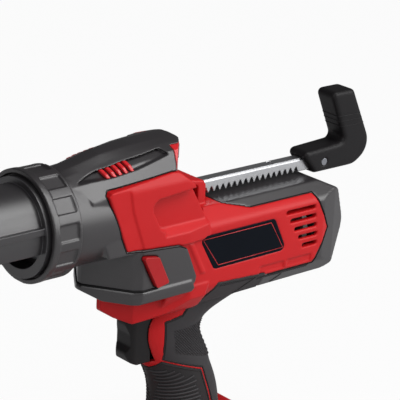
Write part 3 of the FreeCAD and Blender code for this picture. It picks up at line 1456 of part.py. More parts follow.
def make_rod():
    """The rack rod with its plunger and pull handle."""
    rod_low = D.axis_height - ROD_TOP
    rod_high = D.axis_height + ROD_TOP
    body = new_body("rod_bar")
    outline = [
        (-D.rod_tail, rod_low), (D.plunger_place, rod_low),
        (D.plunger_place, rod_high), (-D.rod_tail, rod_high),
    ]
    sketch = sketch_on(body, "side", "rod_outline", -ROD_SIDE)
    draw_outline(sketch, outline)
    bar = body.newObject("PartDesign::Pad", "bar")
    bar.Profile = sketch
    bind(bar, Length=D.rod_width)
    doc.recompute()
    top_edges = []
    for number, edge in enumerate(bar.Shape.Edges, start=1):
        on_top = all(near((vertex.Point.z,), (rod_high.number,)) for vertex in edge.Vertexes)
        if on_top and edge.BoundBox.XLength > edge.BoundBox.YLength:
            top_edges.append(f"Edge{number}")
    chamfer = body.newObject("PartDesign::Chamfer", "rod_top_edges")
    chamfer.Base = (bar, top_edges)
    bind(chamfer, Size=D.rod_chamfer)
    pitch = D.rack_module * math.pi
    half_gap = pitch / 4 + D.backlash / 2
    lean = math.tan(PRESSURE_ANGLE)
    root = RACK_PITCH_LINE + D.rack_module * ROOT_SHARE
    mouth = rod_low - D.rack_module
    reach_down = D.rack_module * 2
    reach_up = D.rack_module * ROOT_SHARE
    rack_back = -D.rod_tail + D.socket_depth - DRIVE_PLACE
    rack_front = D.plunger_place - D.plunger_stud - DRIVE_PLACE
    first_gap = math.ceil(rack_back.number / pitch.number) + 2
    last_gap = math.floor(rack_front.number / pitch.number) - 1
    start = DRIVE_PLACE + pitch * first_gap
    gap_sketch = sketch_on(body, "side", "gap_outline", -ROD_SIDE)
    draw_outline(gap_sketch, [
        (start - half_gap - reach_down * lean, mouth),
        (start + half_gap + reach_down * lean, mouth),
        (start + half_gap - reach_up * lean, root),
        (start - half_gap + reach_up * lean, root),
    ])
    gap = body.newObject("PartDesign::Pocket", "tooth_gap")
    gap.Profile = gap_sketch
    gap.Reversed = True
    bind(gap, Length=D.rod_width)
    count = last_gap - first_gap
    gaps = body.newObject("PartDesign::LinearPattern", "tooth_gaps")
    gaps.Originals = [gap]
    gaps.Direction = (origin_feature(body, "X_Axis"), [""])
    bind(gaps, Length=pitch * count)
    gaps.Occurrences = count + 1
    body.Tip = gaps
    hole_spot = (ahead(rod_hole_share), 0)
    hole = drum("rod_hole_cut", "z", D.rod_hole / 2, D.axis_height, D.axis_height + D.rod_height, hole_spot)
    pin_place = -D.rod_tail + D.socket_depth / 2
    pin_radius = D.handle_pin / 2
    pin_hole = drum("rod_pin_hole", "y", pin_radius + D.press_gap, *WIDE, (pin_place, D.axis_height))
    stud_hole = drum(
        "stud_hole", "x", D.plunger_stud_radius + D.press_gap, D.plunger_place - D.plunger_stud,
        D.plunger_place, (0, D.axis_height),
    )
    node("rack_rod", cut("rack_rod", body, hole, pin_hole, stud_hole))

    face = D.plunger_place + D.plunger_thick
    node("plunger", turned("plunger", "x", [
        (D.plunger_place, D.plunger_stud_radius + D.press_gap),
        (D.plunger_place, D.plunger_radius - D.plunger_thick / 2),
        (D.plunger_place + D.plunger_thick / 2, D.plunger_radius),
        (face, D.plunger_radius),
        (face, D.plunger_stud_radius + D.press_gap),
    ], AXIS))
    node("plunger_screw", turned("plunger_screw", "x", [
        (D.plunger_place - D.plunger_stud, 0),
        (D.plunger_place - D.plunger_stud, D.plunger_stud_radius),
        (face, D.plunger_stud_radius),
        (face, D.plunger_screw_radius),
        (face + D.plunger_screw_head, D.plunger_screw_radius * 0.7),
        (face + D.plunger_screw_head, 0),
    ], AXIS))

    corners = [(HANDLE_HEEL + D.handle_span * u, HANDLE_LOW + D.handle_height * w) for u, w in handle_shares]
    grip = prism(
        "handle_form", "side", corners, -D.handle_half_width, D.handle_half_width,
        rounds=(((2, 3), D.handle_bend), ((0, 1, 4, 5, 6), D.handle_round)),
        rim=("both", D.handle_round * 0.8),
    )
    socket_half = ROD_SIDE + D.press_gap
    socket = block(
        "handle_socket", (-D.rod_tail, 0), (-socket_half, socket_half),
        (D.axis_height - socket_half, D.axis_height + socket_half),
    )
    pin_cut = drum("handle_pin_cut", "y", pin_radius + D.press_gap, *WIDE, (pin_place, D.axis_height))
    node("pull_handle", cut("pull_handle", grip, socket, pin_cut))
    pin_half = D.handle_half_width - D.seam
    node("handle_pin", drum("handle_pin", "y", pin_radius, -pin_half, pin_half, (pin_place, D.axis_height)))


stem_height_share = -0.93
stem_front_share = 0.28
trigger_length_shares = (0.18, 0.43)
switch_height_shares = (-1.07, -0.81)
trigger_shares = [
    (0.24, -0.79), (0.415, -0.795), (0.425, -0.83), (0.40, -0.90), (0.396, -0.98), (0.425, -1.035),
    (0.40, -1.095), (0.35, -1.118), (0.24, -1.12),
]


def make_controls():
    """Trigger, switch, cross button, control board and terminals."""
    half = D.trigger_half_width
    blade = prism(
        "trigger_side", "side", side(trigger_shares), -half, half,
        rounds=(((2, 3, 4, 5, 6), D.handle_round),),
    )
    back, tip = [ahead(share) for share in trigger_length_shares]
    nose = prism(
        "trigger_plan", "plan", [(tip, half), (back, half), (back, -half), (tip, -half)],
        *TRIGGER_SPAN, rounds=(((0, 3), D.trigger_nose_round),),
    )
    stem_height = above(stem_height_share)
    stem_front = ahead(stem_front_share)
    bay_back = TRIGGER_BAY[0]
    stem_back = bay_back - D.switch_depth / 2
    stem = drum("trigger_stem", "x", D.stem_radius, stem_back, stem_front, (0, stem_height))
    node("trigger", join("trigger", common("trigger_blade", blade, nose), stem))
    switch_block = block(
        "switch_block", (bay_back - D.switch_depth, bay_back - D.seam),
        (-D.switch_half_width, D.switch_half_width), [above(share) for share in switch_height_shares],
    )
    room = grip_volume("switch_room", D.grip_wall + D.bay_gap, slice(1, None))
    stem_hole = drum(
        "switch_hole", "x", D.stem_radius + D.bay_gap, stem_back - D.trigger_travel - D.bay_gap, stem_front,
        (0, stem_height),
    )
    node("switch_module", cut("switch_module", common("switch_body", switch_block, room), stem_hole))

    cap_inner = BOLT_HALF + D.button_gap
    button_outline = side(button_shares)
    corner_rounds = (((0, 1, 2, 3), D.button_round),)
    left_low = cap_inner + D.bolt_travel
    left_cap = prism(
        "cap_left", "side", button_outline, left_low, left_low + D.button_cap, rounds=corner_rounds,
    )
    right_cap = prism(
        "cap_right", "side", button_outline, -cap_inner - D.button_cap, -cap_inner, rounds=corner_rounds,
    )
    bolt = drum("bolt", "y", D.bolt_radius, -cap_inner, left_low, BUTTON_PLACE)
    node("cross_button", join("cross_button", left_cap, right_cap, bolt))

    board_shares = [(-0.05, -1.22), (-0.12, -1.46)]
    (top_x, top_z), (low_x, low_z) = side(board_shares)
    node("control_board", prism(
        "control_board", "side",
        [(top_x, top_z), (top_x + D.board_thick, top_z), (low_x + D.board_thick, low_z), (low_x, low_z)],
        -D.board_half_width, D.board_half_width,
    ))
    head_high = D.foot_bottom + D.rail_neck_height + D.rail_head_height + D.rail_gap
    slot_back = -D.rail_back - D.rail_gap
    base = block(
        "terminal_base", (slot_back, slot_back + D.terminal_length - D.seam),
        (-D.terminal_half_width + D.seam, D.terminal_half_width - D.seam),
        (head_high - D.seam, head_high + D.terminal_height),
    )
    node("terminal_block", base)
    node("terminal_blades", spread("terminal_blades", blade_pieces("blade", 0)))


def blade_pieces(name, gap):
    """The contact blades, or the slots that clear them when a gap is given."""
    head_high = D.foot_bottom + D.rail_neck_height + D.rail_head_height + D.rail_gap
    slot_back = -D.rail_back - D.rail_gap
    gap = as_length(gap)
    pieces = []
    for number in (-1, 0, 1):
        middle = D.terminal_half_width * (number * 0.6)
        back = slot_back + D.seam
        if gap.number:
            back = slot_back - gap
        pieces.append(block(
            f"{name}_{number + 1}", (back, slot_back + D.blade_length + gap),
            (middle - D.blade_thick / 2 - gap, middle + D.blade_thick / 2 + gap),
            (head_high - D.seam - D.blade_height - gap, head_high - D.seam + gap),
        ))
    return pieces


def make_battery():
    """The slide-on battery: two case halves, cells and the sprung latch."""
    corners = [
        (D.battery_front, D.battery_half_width), (-D.battery_back, D.battery_half_width),
        (-D.battery_back, -D.battery_half_width), (D.battery_front, -D.battery_half_width),
    ]
    all_corners = ((0, 1, 2, 3), D.battery_round)
    inner_corners = ((0, 1, 2, 3), D.battery_round - D.battery_wall)
    top = D.foot_bottom - D.rail_gap
    tray_form = prism(
        "tray_form", "plan", corners, 0, D.battery_split, rounds=(all_corners,),
        rim=("low", D.battery_base_round),
    )
    lid_form = prism("lid_form", "plan", corners, D.battery_split, top, rounds=(all_corners,))
    room = prism(
        "battery_room", "plan", inset(corners, D.battery_wall), D.battery_wall, top - D.battery_wall,
        rounds=(inner_corners,),
    )
    latch_back = D.battery_front - D.latch_thick
    latch_low = top - D.latch_height
    pocket_half = D.latch_half_width + D.latch_gap
    pocket = block(
        "latch_pocket", (latch_back - D.latch_gap, D.overrun * 2), (-pocket_half, pocket_half),
        (latch_low - D.latch_travel - D.latch_gap, D.foot_bottom),
    )
    node("battery_tray", cut("battery_tray", tray_form, room, pocket))
    rail_front = D.battery_front - D.latch_thick * 2
    head_low = D.foot_bottom + D.rail_neck_height
    neck = block(
        "rail_neck", (-D.rail_back, rail_front), (-D.rail_neck_half, D.rail_neck_half),
        (top - D.seam, head_low),
    )
    head = block(
        "rail_head", (-D.rail_back, rail_front), (-D.rail_head_half, D.rail_head_half),
        (head_low, head_low + D.rail_head_height),
    )
    slots = blade_pieces("blade_slot", D.rail_gap)
    lid = join("lid_whole", lid_form, neck, head)
    node("battery_lid", cut("battery_lid", lid, room, pocket, *slots))
    cells = []
    middle = (D.battery_front - D.battery_back) / 2
    cell_low = D.battery_wall + D.cell_gap + D.cell_radius
    for row in range(2):
        for column in range(-2, 3):
            cells.append(drum(
                f"cell_{row}_{column + 2}", "y", D.cell_radius, -D.cell_length / 2, D.cell_length / 2,
                (middle + D.cell_pitch * column, cell_low + D.cell_pitch * row),
            ))
    node("battery_cells", spread("battery_cells", cells))
    pad = block(
        "latch_pad", (latch_back, D.battery_front), (-D.latch_half_width, D.latch_half_width),
        (latch_low, top),
    )
    tooth_back = D.battery_front - D.latch_tooth_thick * 1.5
    tooth = block(
        "latch_hook", (tooth_back, tooth_back + D.latch_tooth_thick),
        (-D.latch_half_width * 0.8, D.latch_half_width * 0.8), (top, top + D.latch_tooth),
    )
    node("battery_latch", join("battery_latch", pad, tooth))


def finish():
    """Check every object and write each piece to its own file."""
    doc.recompute()
    failed = [item.Name for item in doc.Objects if {"Invalid", "Error"} & set(item.State)]
    if failed:
        raise RuntimeError(f"failed objects: {failed}")
    os.makedirs("parts", exist_ok=True)
    for name, piece in NODES.items():
        shape = piece.Shape
        if shape.isNull() or not shape.isValid() or not shape.Solids:
            raise RuntimeError(f"bad shape: {name}")
    for name, piece in NODES.items():
        piece.Shape.exportStep(f"parts/{name}.step")
        print(f"{name}: {len(piece.Shape.Solids)} solids, {piece.Shape.Volume:.0f} mm3")


def main():
    make_ring_nut()
    make_cradle()
    make_nose()
    make_housing()
    make_drive()
    make_rod()
    make_controls()
    make_battery()
    finish()


if __name__ == "__main__":
    main()
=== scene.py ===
import logging
import math
from collections.abc import Sequence
from dataclasses import dataclass, field
from enum import Enum

import bmesh
import bpy
from mathutils import Matrix, Vector
from mathutils.bvhtree import BVHTree
from mathutils.geometry import intersect_point_quad_2d


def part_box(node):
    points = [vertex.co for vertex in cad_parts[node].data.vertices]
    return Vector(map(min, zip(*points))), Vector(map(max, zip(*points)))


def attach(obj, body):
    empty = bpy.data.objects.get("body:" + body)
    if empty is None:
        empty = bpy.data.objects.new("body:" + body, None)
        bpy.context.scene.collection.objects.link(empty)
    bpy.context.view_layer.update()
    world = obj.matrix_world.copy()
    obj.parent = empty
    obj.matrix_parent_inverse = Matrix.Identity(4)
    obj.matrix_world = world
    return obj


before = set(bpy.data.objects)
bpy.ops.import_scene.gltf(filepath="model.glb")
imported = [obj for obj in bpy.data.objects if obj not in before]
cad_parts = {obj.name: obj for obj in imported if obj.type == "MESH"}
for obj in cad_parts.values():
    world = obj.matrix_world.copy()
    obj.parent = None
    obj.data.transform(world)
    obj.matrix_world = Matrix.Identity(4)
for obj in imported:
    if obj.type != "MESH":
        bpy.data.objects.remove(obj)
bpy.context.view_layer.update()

MM = 0.001
LOG = logging.getLogger("caulking_tool")

# X and Z of a place in the side view, in mm, and a line of such places.
Spot = tuple[float, float]
Line = tuple[Spot, ...]
# Three numbers that belong together, such as a place or a direction in the row's axes.
Triple = tuple[float, float, float]

# The left side lies toward +Y, and the right side toward -Y.
SIDES = (1, -1)
# Rays that look for a surface start this far from the middle plane, outside every piece.
REACH = 80 * MM
# Broad patches of colour on a surface are about this wide.
PATCH_MM = 28.0
# Sockets of a colour mix, by number because Blender repeats their names.
MIX_FROM, MIX_TO, MIX_RESULT = 6, 7, 2


def linear(hex_colour: str) -> tuple[float, float, float, float]:
    """Turn an sRGB hex colour into linear light.

    Args:
        hex_colour: Six hex digits after a hash sign.

    Returns:
        Red, green, blue and an alpha of one.
    """
    parts = [int(hex_colour[i:i + 2], 16) / 255 for i in (1, 3, 5)]
    curve = [p / 12.92 if p <= 0.04045 else ((p + 0.055) / 1.055) ** 2.4 for p in parts]
    return (*curve, 1.0)


def add_node(
    tree: bpy.types.NodeTree,
    kind: str,
    sockets: dict[str | int, object] | None = None,
    **settings: object,
) -> bpy.types.Node:
    """Add a node, with its settings, constants and links.

    Args:
        tree: The node tree that takes the node.
        kind: Blender's type name of the node.
        sockets: Input names or numbers, each with a constant or the output that feeds it.
        **settings: Properties of the node.

    Returns:
        The new node.
    """
    node = tree.nodes.new(kind)
    for key, value in settings.items():
        setattr(node, key, value)
    for key, value in (sockets or {}).items():
        if isinstance(value, bpy.types.NodeSocket):
            tree.links.new(value, node.inputs[key])
        else:
            node.inputs[key].default_value = value
    return node


class Lay(Enum):
    """Which way the marks of making run: how much of the grain's scale each axis keeps."""

    EVEN = (1.0, 1.0, 1.0)
    LENGTHWISE = (0.04, 1.0, 1.0)
    CROSSWISE = (1.0, 0.06, 1.0)


@dataclass(frozen=True)
class Finish:
    """A surface finish: colour with its variation, gloss with its spread, and grain.

    Attributes:
        slot: The record's material slot.
        name: The material's name.
        colour: Colour of the lit surface.
        shade: Colour that it drifts to in broad patches.
        worn: Colour of sharp edges, partly rubbed wear and partly a painted highlight.
        roughness: Mean roughness.
        spread: How far roughness goes up and down.
        grain_mm: Width of one grain.
        relief_mm: Height of the grain.
        metallic: One for bare metal.
        ior: Index of refraction, typical of the material; a metal keeps the default.
        gleam: Share of the mirror-like light that the texture lets through; one half is a
            smooth surface.
        edge_mm: Radius that light finds on an edge.
        lay: Direction of the marks.
    """

    slot: str
    name: str
    colour: str
    shade: str
    worn: str
    roughness: float
    spread: float
    grain_mm: float
    relief_mm: float
    metallic: float = 0.0
    ior: float = 1.5
    gleam: float = 0.5
    edge_mm: float = 0.7
    lay: Lay = Lay.EVEN

    def place(self, tree: bpy.types.NodeTree) -> bpy.types.NodeSocket:
        """Place the grain on the object, stretched along the lay.

        Args:
            tree: The material's node tree.

        Returns:
            The output with the place.
        """
        spot = add_node(tree, "ShaderNodeTexCoord").outputs["Object"]
        return add_node(tree, "ShaderNodeMapping", {
            "Vector": spot, "Scale": self.lay.value,
        }).outputs["Vector"]

    def height(self, tree: bpy.types.NodeTree) -> bpy.types.NodeSocket:
        """Raise the grain.

        Args:
            tree: The material's node tree.

        Returns:
            The output with the grain's height, from zero to one.
        """
        return add_node(tree, "ShaderNodeTexNoise", {
            "Vector": self.place(tree), "Scale": 1 / (self.grain_mm * MM),
            "Detail": 2.0, "Roughness": 0.6,
        }).outputs["Fac"]

    def tint(self, tree: bpy.types.NodeTree) -> bpy.types.NodeSocket:
        """Colour the surface, with its broad drift, and with sharp edges lightened partly as
        rubbed wear and partly as a painted highlight.

        Args:
            tree: The material's node tree.

        Returns:
            The output with the colour.
        """
        drift = add_node(tree, "ShaderNodeTexNoise", {
            "Vector": self.place(tree), "Scale": 1 / (PATCH_MM * MM), "Detail": 3.0,
        }).outputs["Fac"]
        base = add_node(tree, "ShaderNodeMix", {
            "Factor": drift, MIX_FROM: linear(self.shade), MIX_TO: linear(self.colour),
        }, data_type="RGBA").outputs[MIX_RESULT]
        # Sharp edges go toward the edge colour: partly rubbed wear, partly a painted highlight.
        return add_node(tree, "ShaderNodeMix", {
            "Factor": self.edge(tree), MIX_FROM: base, MIX_TO: linear(self.worn),
        }, data_type="RGBA").outputs[MIX_RESULT]

    def round_normal(self, tree: bpy.types.NodeTree) -> bpy.types.NodeSocket:
        """Break the edges for the light, without a change to the mesh.

        Args:
            tree: The material's node tree.

        Returns:
            The output with the surface's normal.
        """
        return add_node(tree, "ShaderNodeBevel", {
            "Radius": self.edge_mm * MM,
        }, samples=6).outputs["Normal"]

    def edge(self, tree: bpy.types.NodeTree) -> bpy.types.NodeSocket:
        """Find the sharp edges, which are rubbed first and which also take a painted highlight.

        Args:
            tree: The material's node tree.

        Returns:
            The output with a mask that is strongest on sharp edges.
        """
        flat = add_node(tree, "ShaderNodeNewGeometry").outputs["Normal"]
        turn = add_node(tree, "ShaderNodeVectorMath", {
            0: flat, 1: self.round_normal(tree),
        }, operation="DOT_PRODUCT").outputs["Value"]
        return add_node(tree, "ShaderNodeMapRange", {
            "Value": turn, "From Min": 0.99, "From Max": 0.80, "To Min": 0.0, "To Max": 0.5,
        }).outputs["Result"]

    def material(self) -> bpy.types.Material:
        """Make the material, or return the one already made.

        Returns:
            The material with its nodes.
        """
        made = bpy.data.materials.get(self.name)
        if made:
            return made
        made = bpy.data.materials.new(self.name)
        made.use_nodes = True
        tree = made.node_tree
        tree.nodes.clear()
        grain = self.height(tree)
        gloss = add_node(tree, "ShaderNodeMapRange", {
            "Value": grain,
            "To Min": self.roughness - self.spread, "To Max": self.roughness + self.spread,
        }).outputs["Result"]
        bump = add_node(tree, "ShaderNodeBump", {
            "Height": grain, "Strength": 1.0, "Distance": self.relief_mm * MM,
            "Normal": self.round_normal(tree),
        }).outputs["Normal"]
        shader = add_node(tree, "ShaderNodeBsdfPrincipled", {
            "Base Color": self.tint(tree), "Roughness": gloss, "Normal": bump,
            "Metallic": self.metallic, "IOR": self.ior, "Specular IOR Level": self.gleam,
        }).outputs["BSDF"]
        add_node(tree, "ShaderNodeOutputMaterial", {"Surface": shader})
        return made


# Each finish's edge colour is partly rubbed wear and partly a painted highlight on sharp edges.
# A mould's texture and a cutter's marks are 0.05 to 0.2 mm wide, too fine to show at this
# distance, so every grain below is drawn as coarse as it needs to show.

# ABS blend, moulded in a finely spark-eroded tool: an even red with a soft, slightly broken sheen.
RED_SHELL = Finish(
    slot="red_shell", name="abs_blend_spark_textured_red",
    colour="#C6181C", shade="#BC1418", worn="#DC524C",
    roughness=0.45, spread=0.05, grain_mm=0.9, relief_mm=0.02, ior=1.55, gleam=0.241,
)
# Glass-filled nylon, moulded satin: near black, with broad grey highlights.
BLACK_NYLON = Finish(
    slot="black_plastic", name="glass_filled_nylon_satin_black",
    colour="#2A2729", shade="#242123", worn="#5A585B",
    roughness=0.40, spread=0.05, grain_mm=0.8, relief_mm=0.02, ior=1.53, gleam=0.820,
)
# A painted shadow for the gap where two mouldings of that nylon meet: a dull line, almost black,
# laid where there is only shade.
GAP_SHADOW_NYLON = Finish(
    slot="black_plastic", name="glass_filled_nylon_painted_gap_shadow",
    colour="#0E0D0E", shade="#0B0A0B", worn="#161516",
    roughness=0.65, spread=0.04, grain_mm=0.8, relief_mm=0.01, ior=1.53, gleam=0.182,
)
# The same nylon from a smoother tool, for the cradle: long, slightly narrower highlights.
CRADLE_NYLON = Finish(
    slot="cradle_plastic", name="glass_filled_nylon_smooth_black",
    colour="#2B292B", shade="#252325", worn="#66646A",
    roughness=0.36, spread=0.04, grain_mm=1.0, relief_mm=0.012, ior=1.53, gleam=0.820,
)
# Polypropylene with a coarse leather texture: dull black with a sparkle of small highlights.
HANDLE_POLYPROPYLENE = Finish(
    slot="handle_plastic", name="polypropylene_coarse_black",
    colour="#1A181A", shade="#151415", worn="#454346",
    roughness=0.46, spread=0.06, grain_mm=0.9, relief_mm=0.05, ior=1.49, gleam=0.207,
)
# Acetal, moulded smooth: waxy and deep black, with a weak highlight.
ACETAL_BLACK = Finish(
    slot="trigger_plastic", name="acetal_moulded_black",
    colour="#181617", shade="#141213", worn="#434143",
    roughness=0.38, spread=0.04, grain_mm=0.7, relief_mm=0.015, ior=1.48, gleam=0.267,
)
# The same acetal for the dial, painted a lighter black as painted light, so that its rim stays
# clear of the shade in the bezel's mouth.
DIAL_ACETAL_PAINTED_LIGHT = Finish(
    slot="dial_plastic", name="acetal_dial_painted_lighter_black",
    colour="#252426", shade="#1F1E20", worn="#4A484B",
    roughness=0.38, spread=0.04, grain_mm=0.7, relief_mm=0.015, ior=1.48, gleam=0.534,
)
# Polycarbonate blend, moulded semi-gloss: a signal red with a small, bright highlight.
ACCENT_RED = Finish(
    slot="accent_red", name="polycarbonate_blend_semi_gloss_red",
    colour="#D3262C", shade="#C81F26", worn="#E4605A",
    roughness=0.30, spread=0.04, grain_mm=0.8, relief_mm=0.01, ior=1.58, gleam=0.396,
)
# The same blend for the button: a deeper red with a weaker highlight.
BUTTON_RED = Finish(
    slot="accent_red", name="polycarbonate_blend_button_red",
    colour="#AE1A1F", shade="#A4171C", worn="#D0504C",
    roughness=0.34, spread=0.04, grain_mm=0.8, relief_mm=0.01, ior=1.58, gleam=0.237,
)
# Printed polyester film: a flat, deep navy that hardly any haze lightens.
NAVY_FILM = Finish(
    slot="badge_plate", name="polyester_film_printed_navy",
    colour="#0D121A", shade="#0A0E15", worn="#20263A",
    roughness=0.16, spread=0.03, grain_mm=0.6, relief_mm=0.002, ior=1.64, gleam=0.041,
)
# Screen ink on that film: a flat red without visible grain.
RED_INK = Finish(
    slot="badge_plate", name="screen_ink_red",
    colour="#C9252B", shade="#BE2026", worn="#D23A3E",
    roughness=0.40, spread=0.03, grain_mm=0.5, relief_mm=0.004, ior=1.49, gleam=0.516,
)
# Pad-printed ink on the dial: a flat, slightly warm white.
WHITE_INK = Finish(
    slot="dial_plastic", name="pad_print_white",
    colour="#E9E7E4", shade="#DEDCD8", worn="#F2F1EE",
    roughness=0.45, spread=0.03, grain_mm=0.5, relief_mm=0.004, ior=1.49, gleam=0.516,
)
# Cold drawn steel, ground and oiled: bright, with fine streaks along its length.
DRAWN_STEEL = Finish(
    slot="rack_steel", name="cold_drawn_steel_ground",
    colour="#D2D3D5", shade="#C0C1C4", worn="#ECECEE",
    roughness=0.36, spread=0.08, grain_mm=0.7, relief_mm=0.01,
    metallic=1.0, edge_mm=0.8, lay=Lay.LENGTHWISE,
)
# Hobbed gear steel: grey, with cutter marks across the teeth.
HOBBED_STEEL = Finish(
    slot="gear_steel", name="hobbed_gear_steel",
    colour="#A8A9AC", shade="#8F9093", worn="#D0D0D2",
    roughness=0.36, spread=0.08, grain_mm=0.6, relief_mm=0.012,
    metallic=1.0, edge_mm=0.2, lay=Lay.CROSSWISE,
)
# Zinc plated screw steel: cool grey with a faint cloudiness.
ZINC_STEEL = Finish(
    slot="screw_steel", name="zinc_plated_steel",
    colour="#9C9EA3", shade="#84868C", worn="#C4C5C9",
    roughness=0.38, spread=0.07, grain_mm=0.5, relief_mm=0.01,
    metallic=1.0, edge_mm=0.2,
)
# Deep drawn steel, nickel plated: warm grey, with faint drawing lines along the can.
NICKEL_CAN = Finish(
    slot="motor_can", name="nickel_plated_deep_drawn_can",
    colour="#B4B2AC", shade="#9A9892", worn="#D4D2CC",
    roughness=0.33, spread=0.06, grain_mm=1.5, relief_mm=0.012,
    metallic=1.0, edge_mm=0.4, lay=Lay.LENGTHWISE,
)
# Uncoloured nylon mouldings inside the shells: plain mid grey, without gloss.
INNER_NYLON = Finish(
    slot="inner_plastic", name="nylon_natural_grey",
    colour="#5B5A58", shade="#504F4E", worn="#7A7977",
    roughness=0.48, spread=0.05, grain_mm=0.8, relief_mm=0.02, ior=1.53, gleam=0.456,
)
# Pressed and sintered bronze: brownish gold, dulled by its pores.
SINTERED_BRONZE = Finish(
    slot="bush_brass", name="sintered_bronze",
    colour="#B48A4E", shade="#96703C", worn="#D2AC72",
    roughness=0.42, spread=0.08, grain_mm=0.35, relief_mm=0.02,
    metallic=1.0, edge_mm=0.2,
)
# Solder mask on a fibreglass board: a thin green lacquer with a soft gloss.
SOLDER_MASK = Finish(
    slot="board_green", name="fibreglass_board_solder_mask",
    colour="#1E5A36", shade="#17492B", worn="#3A7A54",
    roughness=0.30, spread=0.05, grain_mm=1.2, relief_mm=0.01, ior=1.55, gleam=0.430,
)
# PVC sleeve, shrunk onto the cells: a smooth mid blue with long highlights.
CELL_SLEEVE = Finish(
    slot="cell_can", name="pvc_shrink_sleeve_blue",
    colour="#3D6D9E", shade="#345F8C", worn="#7A9CC0",
    roughness=0.32, spread=0.04, grain_mm=1.4, relief_mm=0.01, ior=1.53, gleam=0.456,
)
# Soft thermoplastic rubber with a fine matt texture: dull dark grey, without clear highlights.
GRIP_RUBBER = Finish(
    slot="soft_grip", name="thermoplastic_rubber_matt",
    colour="#353335", shade="#2D2B2D", worn="#4C4A4D",
    roughness=0.60, spread=0.05, grain_mm=0.7, relief_mm=0.04, gleam=0.35,
)
# The same rubber between the finger ribs, painted darker as the shade that the grooves hold.
GROOVE_SHADE_RUBBER = Finish(
    slot="soft_grip", name="thermoplastic_rubber_painted_groove_shade",
    colour="#242223", shade="#1E1C1D", worn="#3A383A",
    roughness=0.60, spread=0.05, grain_mm=0.7, relief_mm=0.04, gleam=0.35,
)
# A painted shadow for the bottom of a moulded seam in that rubber: a matt line, almost black.
SEAM_SHADOW_RUBBER = Finish(
    slot="soft_grip", name="thermoplastic_rubber_painted_seam_shadow",
    colour="#121112", shade="#0E0D0E", worn="#1C1B1C",
    roughness=0.70, spread=0.04, grain_mm=0.7, relief_mm=0.02,
)


def add_piece(name: str, data: bpy.types.ID) -> bpy.types.Object:
    """Add an object to the scene.

    Args:
        name: Name of the object.
        data: Its mesh, curve, lamp or camera.

    Returns:
        The new object.
    """
    piece = bpy.data.objects.new(name, data)
    bpy.context.collection.objects.link(piece)
    return piece


def add_mesh(name: str, made: bmesh.types.BMesh) -> bpy.types.Object:
    """Add an object with a finished mesh to the scene.

    Args:
        name: Name of the object.
        made: The mesh, which is freed.

    Returns:
        The new object.
    """
    mesh = bpy.data.meshes.new(name)
    made.to_mesh(mesh)
    made.free()
    return add_piece(name, mesh)


def join_body(piece: bpy.types.Object, body: str, finish: Finish) -> None:
    """Give a new piece its finish and its body.

    Args:
        piece: The piece.
        body: The CAD body that it moves with.
        finish: Its finish.
    """
    piece.data.materials.append(finish.material())
    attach(piece, body)
    LOG.info("%s rides on %s", piece.name, body)


def bead(
    name: str, runs: list[list[Vector]], radius_mm: float, closed: bool = False,
) -> bpy.types.Object:
    """Make a thin round bead that follows one or more runs of points.

    Args:
        name: Name of the piece.
        runs: Points of each run, in metres.
        radius_mm: Radius of the bead.
        closed: Whether each run closes on itself.

    Returns:
        The new piece.
    """
    data = bpy.data.curves.new(name, "CURVE")
    data.dimensions = "3D"
    data.bevel_depth = radius_mm * MM
    data.bevel_resolution = 2
    data.use_fill_caps = True
    for points in runs:
        spline = data.splines.new("POLY")
        spline.points.add(len(points) - 1)
        for target, point in zip(spline.points, points):
            target.co = (*point, 1.0)
        spline.use_cyclic_u = closed
    return add_piece(name, data)


def plate(name: str, outline: Line, near: float, far: float) -> bpy.types.Object:
    """Make a plate from an outline in the side view, with its edges broken.

    Args:
        name: Name of the piece.
        outline: Its corners.
        near: Y of one face, in mm.
        far: Y of the other face, in mm.

    Returns:
        The new piece.
    """
    edge_mm, edge_steps = 0.4, 3
    made = bmesh.new()
    rims = [[made.verts.new(Vector((x, y, z)) * MM) for x, z in outline] for y in (near, far)]
    made.faces.new(rims[0])
    made.faces.new(reversed(rims[1]))
    for i in range(len(outline)):
        j = (i + 1) % len(outline)
        made.faces.new((rims[0][i], rims[1][i], rims[1][j], rims[0][j]))
    bmesh.ops.recalc_face_normals(made, faces=made.faces)
    piece = add_mesh(name, made)
    edges = piece.modifiers.new("edges", "BEVEL")
    edges.width = edge_mm * MM
    edges.segments = edge_steps
    return piece


def surface_of(*nodes: str) -> BVHTree:
    """Make a search tree over the surfaces of CAD nodes, as their modifiers leave them.

    Args:
        *nodes: Names of the nodes.

    Returns:
        The tree, in the frame of the row.
    """
    verts: list[Vector] = []
    faces: list[list[int]] = []
    shown = bpy.context.evaluated_depsgraph_get()
    for name in nodes:
        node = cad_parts[name].evaluated_get(shown)
        mesh = node.to_mesh()
        start = len(verts)
        verts.extend(v.co.copy() for v in mesh.vertices)
        faces.extend([start + i for i in polygon.vertices] for polygon in mesh.polygons)
        node.to_mesh_clear()
    return BVHTree.FromPolygons(verts, faces)


def meet(tree: BVHTree, x: float, z: float, side: int) -> tuple[Vector | None, Vector | None]:
    """Find where a ray from one side meets a surface.

    Args:
        tree: The surface.
        x: Place of the ray along the tool, in mm.
        z: Height of the ray, in mm.
        side: One for the left side, minus one for the right.

    Returns:
        The place, in metres, and the surface's normal there, or None for both.
    """
    start = Vector((x * MM, side * REACH, z * MM))
    return tree.ray_cast(start, Vector((0, -side, 0)), REACH)[:2]


def meet_level(tree: BVHTree, centre: Vector, angle: float, reach: float) -> Vector | None:
    """Find where a level ray toward a centre meets a surface.

    Args:
        tree: The surface.
        centre: The place that the ray goes toward, in metres.
        angle: Where it comes from, in radians from straight ahead.
        reach: How far off it starts, in metres.

    Returns:
        The place, in metres, or None.
    """
    out = Vector((math.cos(angle), math.sin(angle), 0))
    return tree.ray_cast(centre + out * reach, -out, reach)[0]


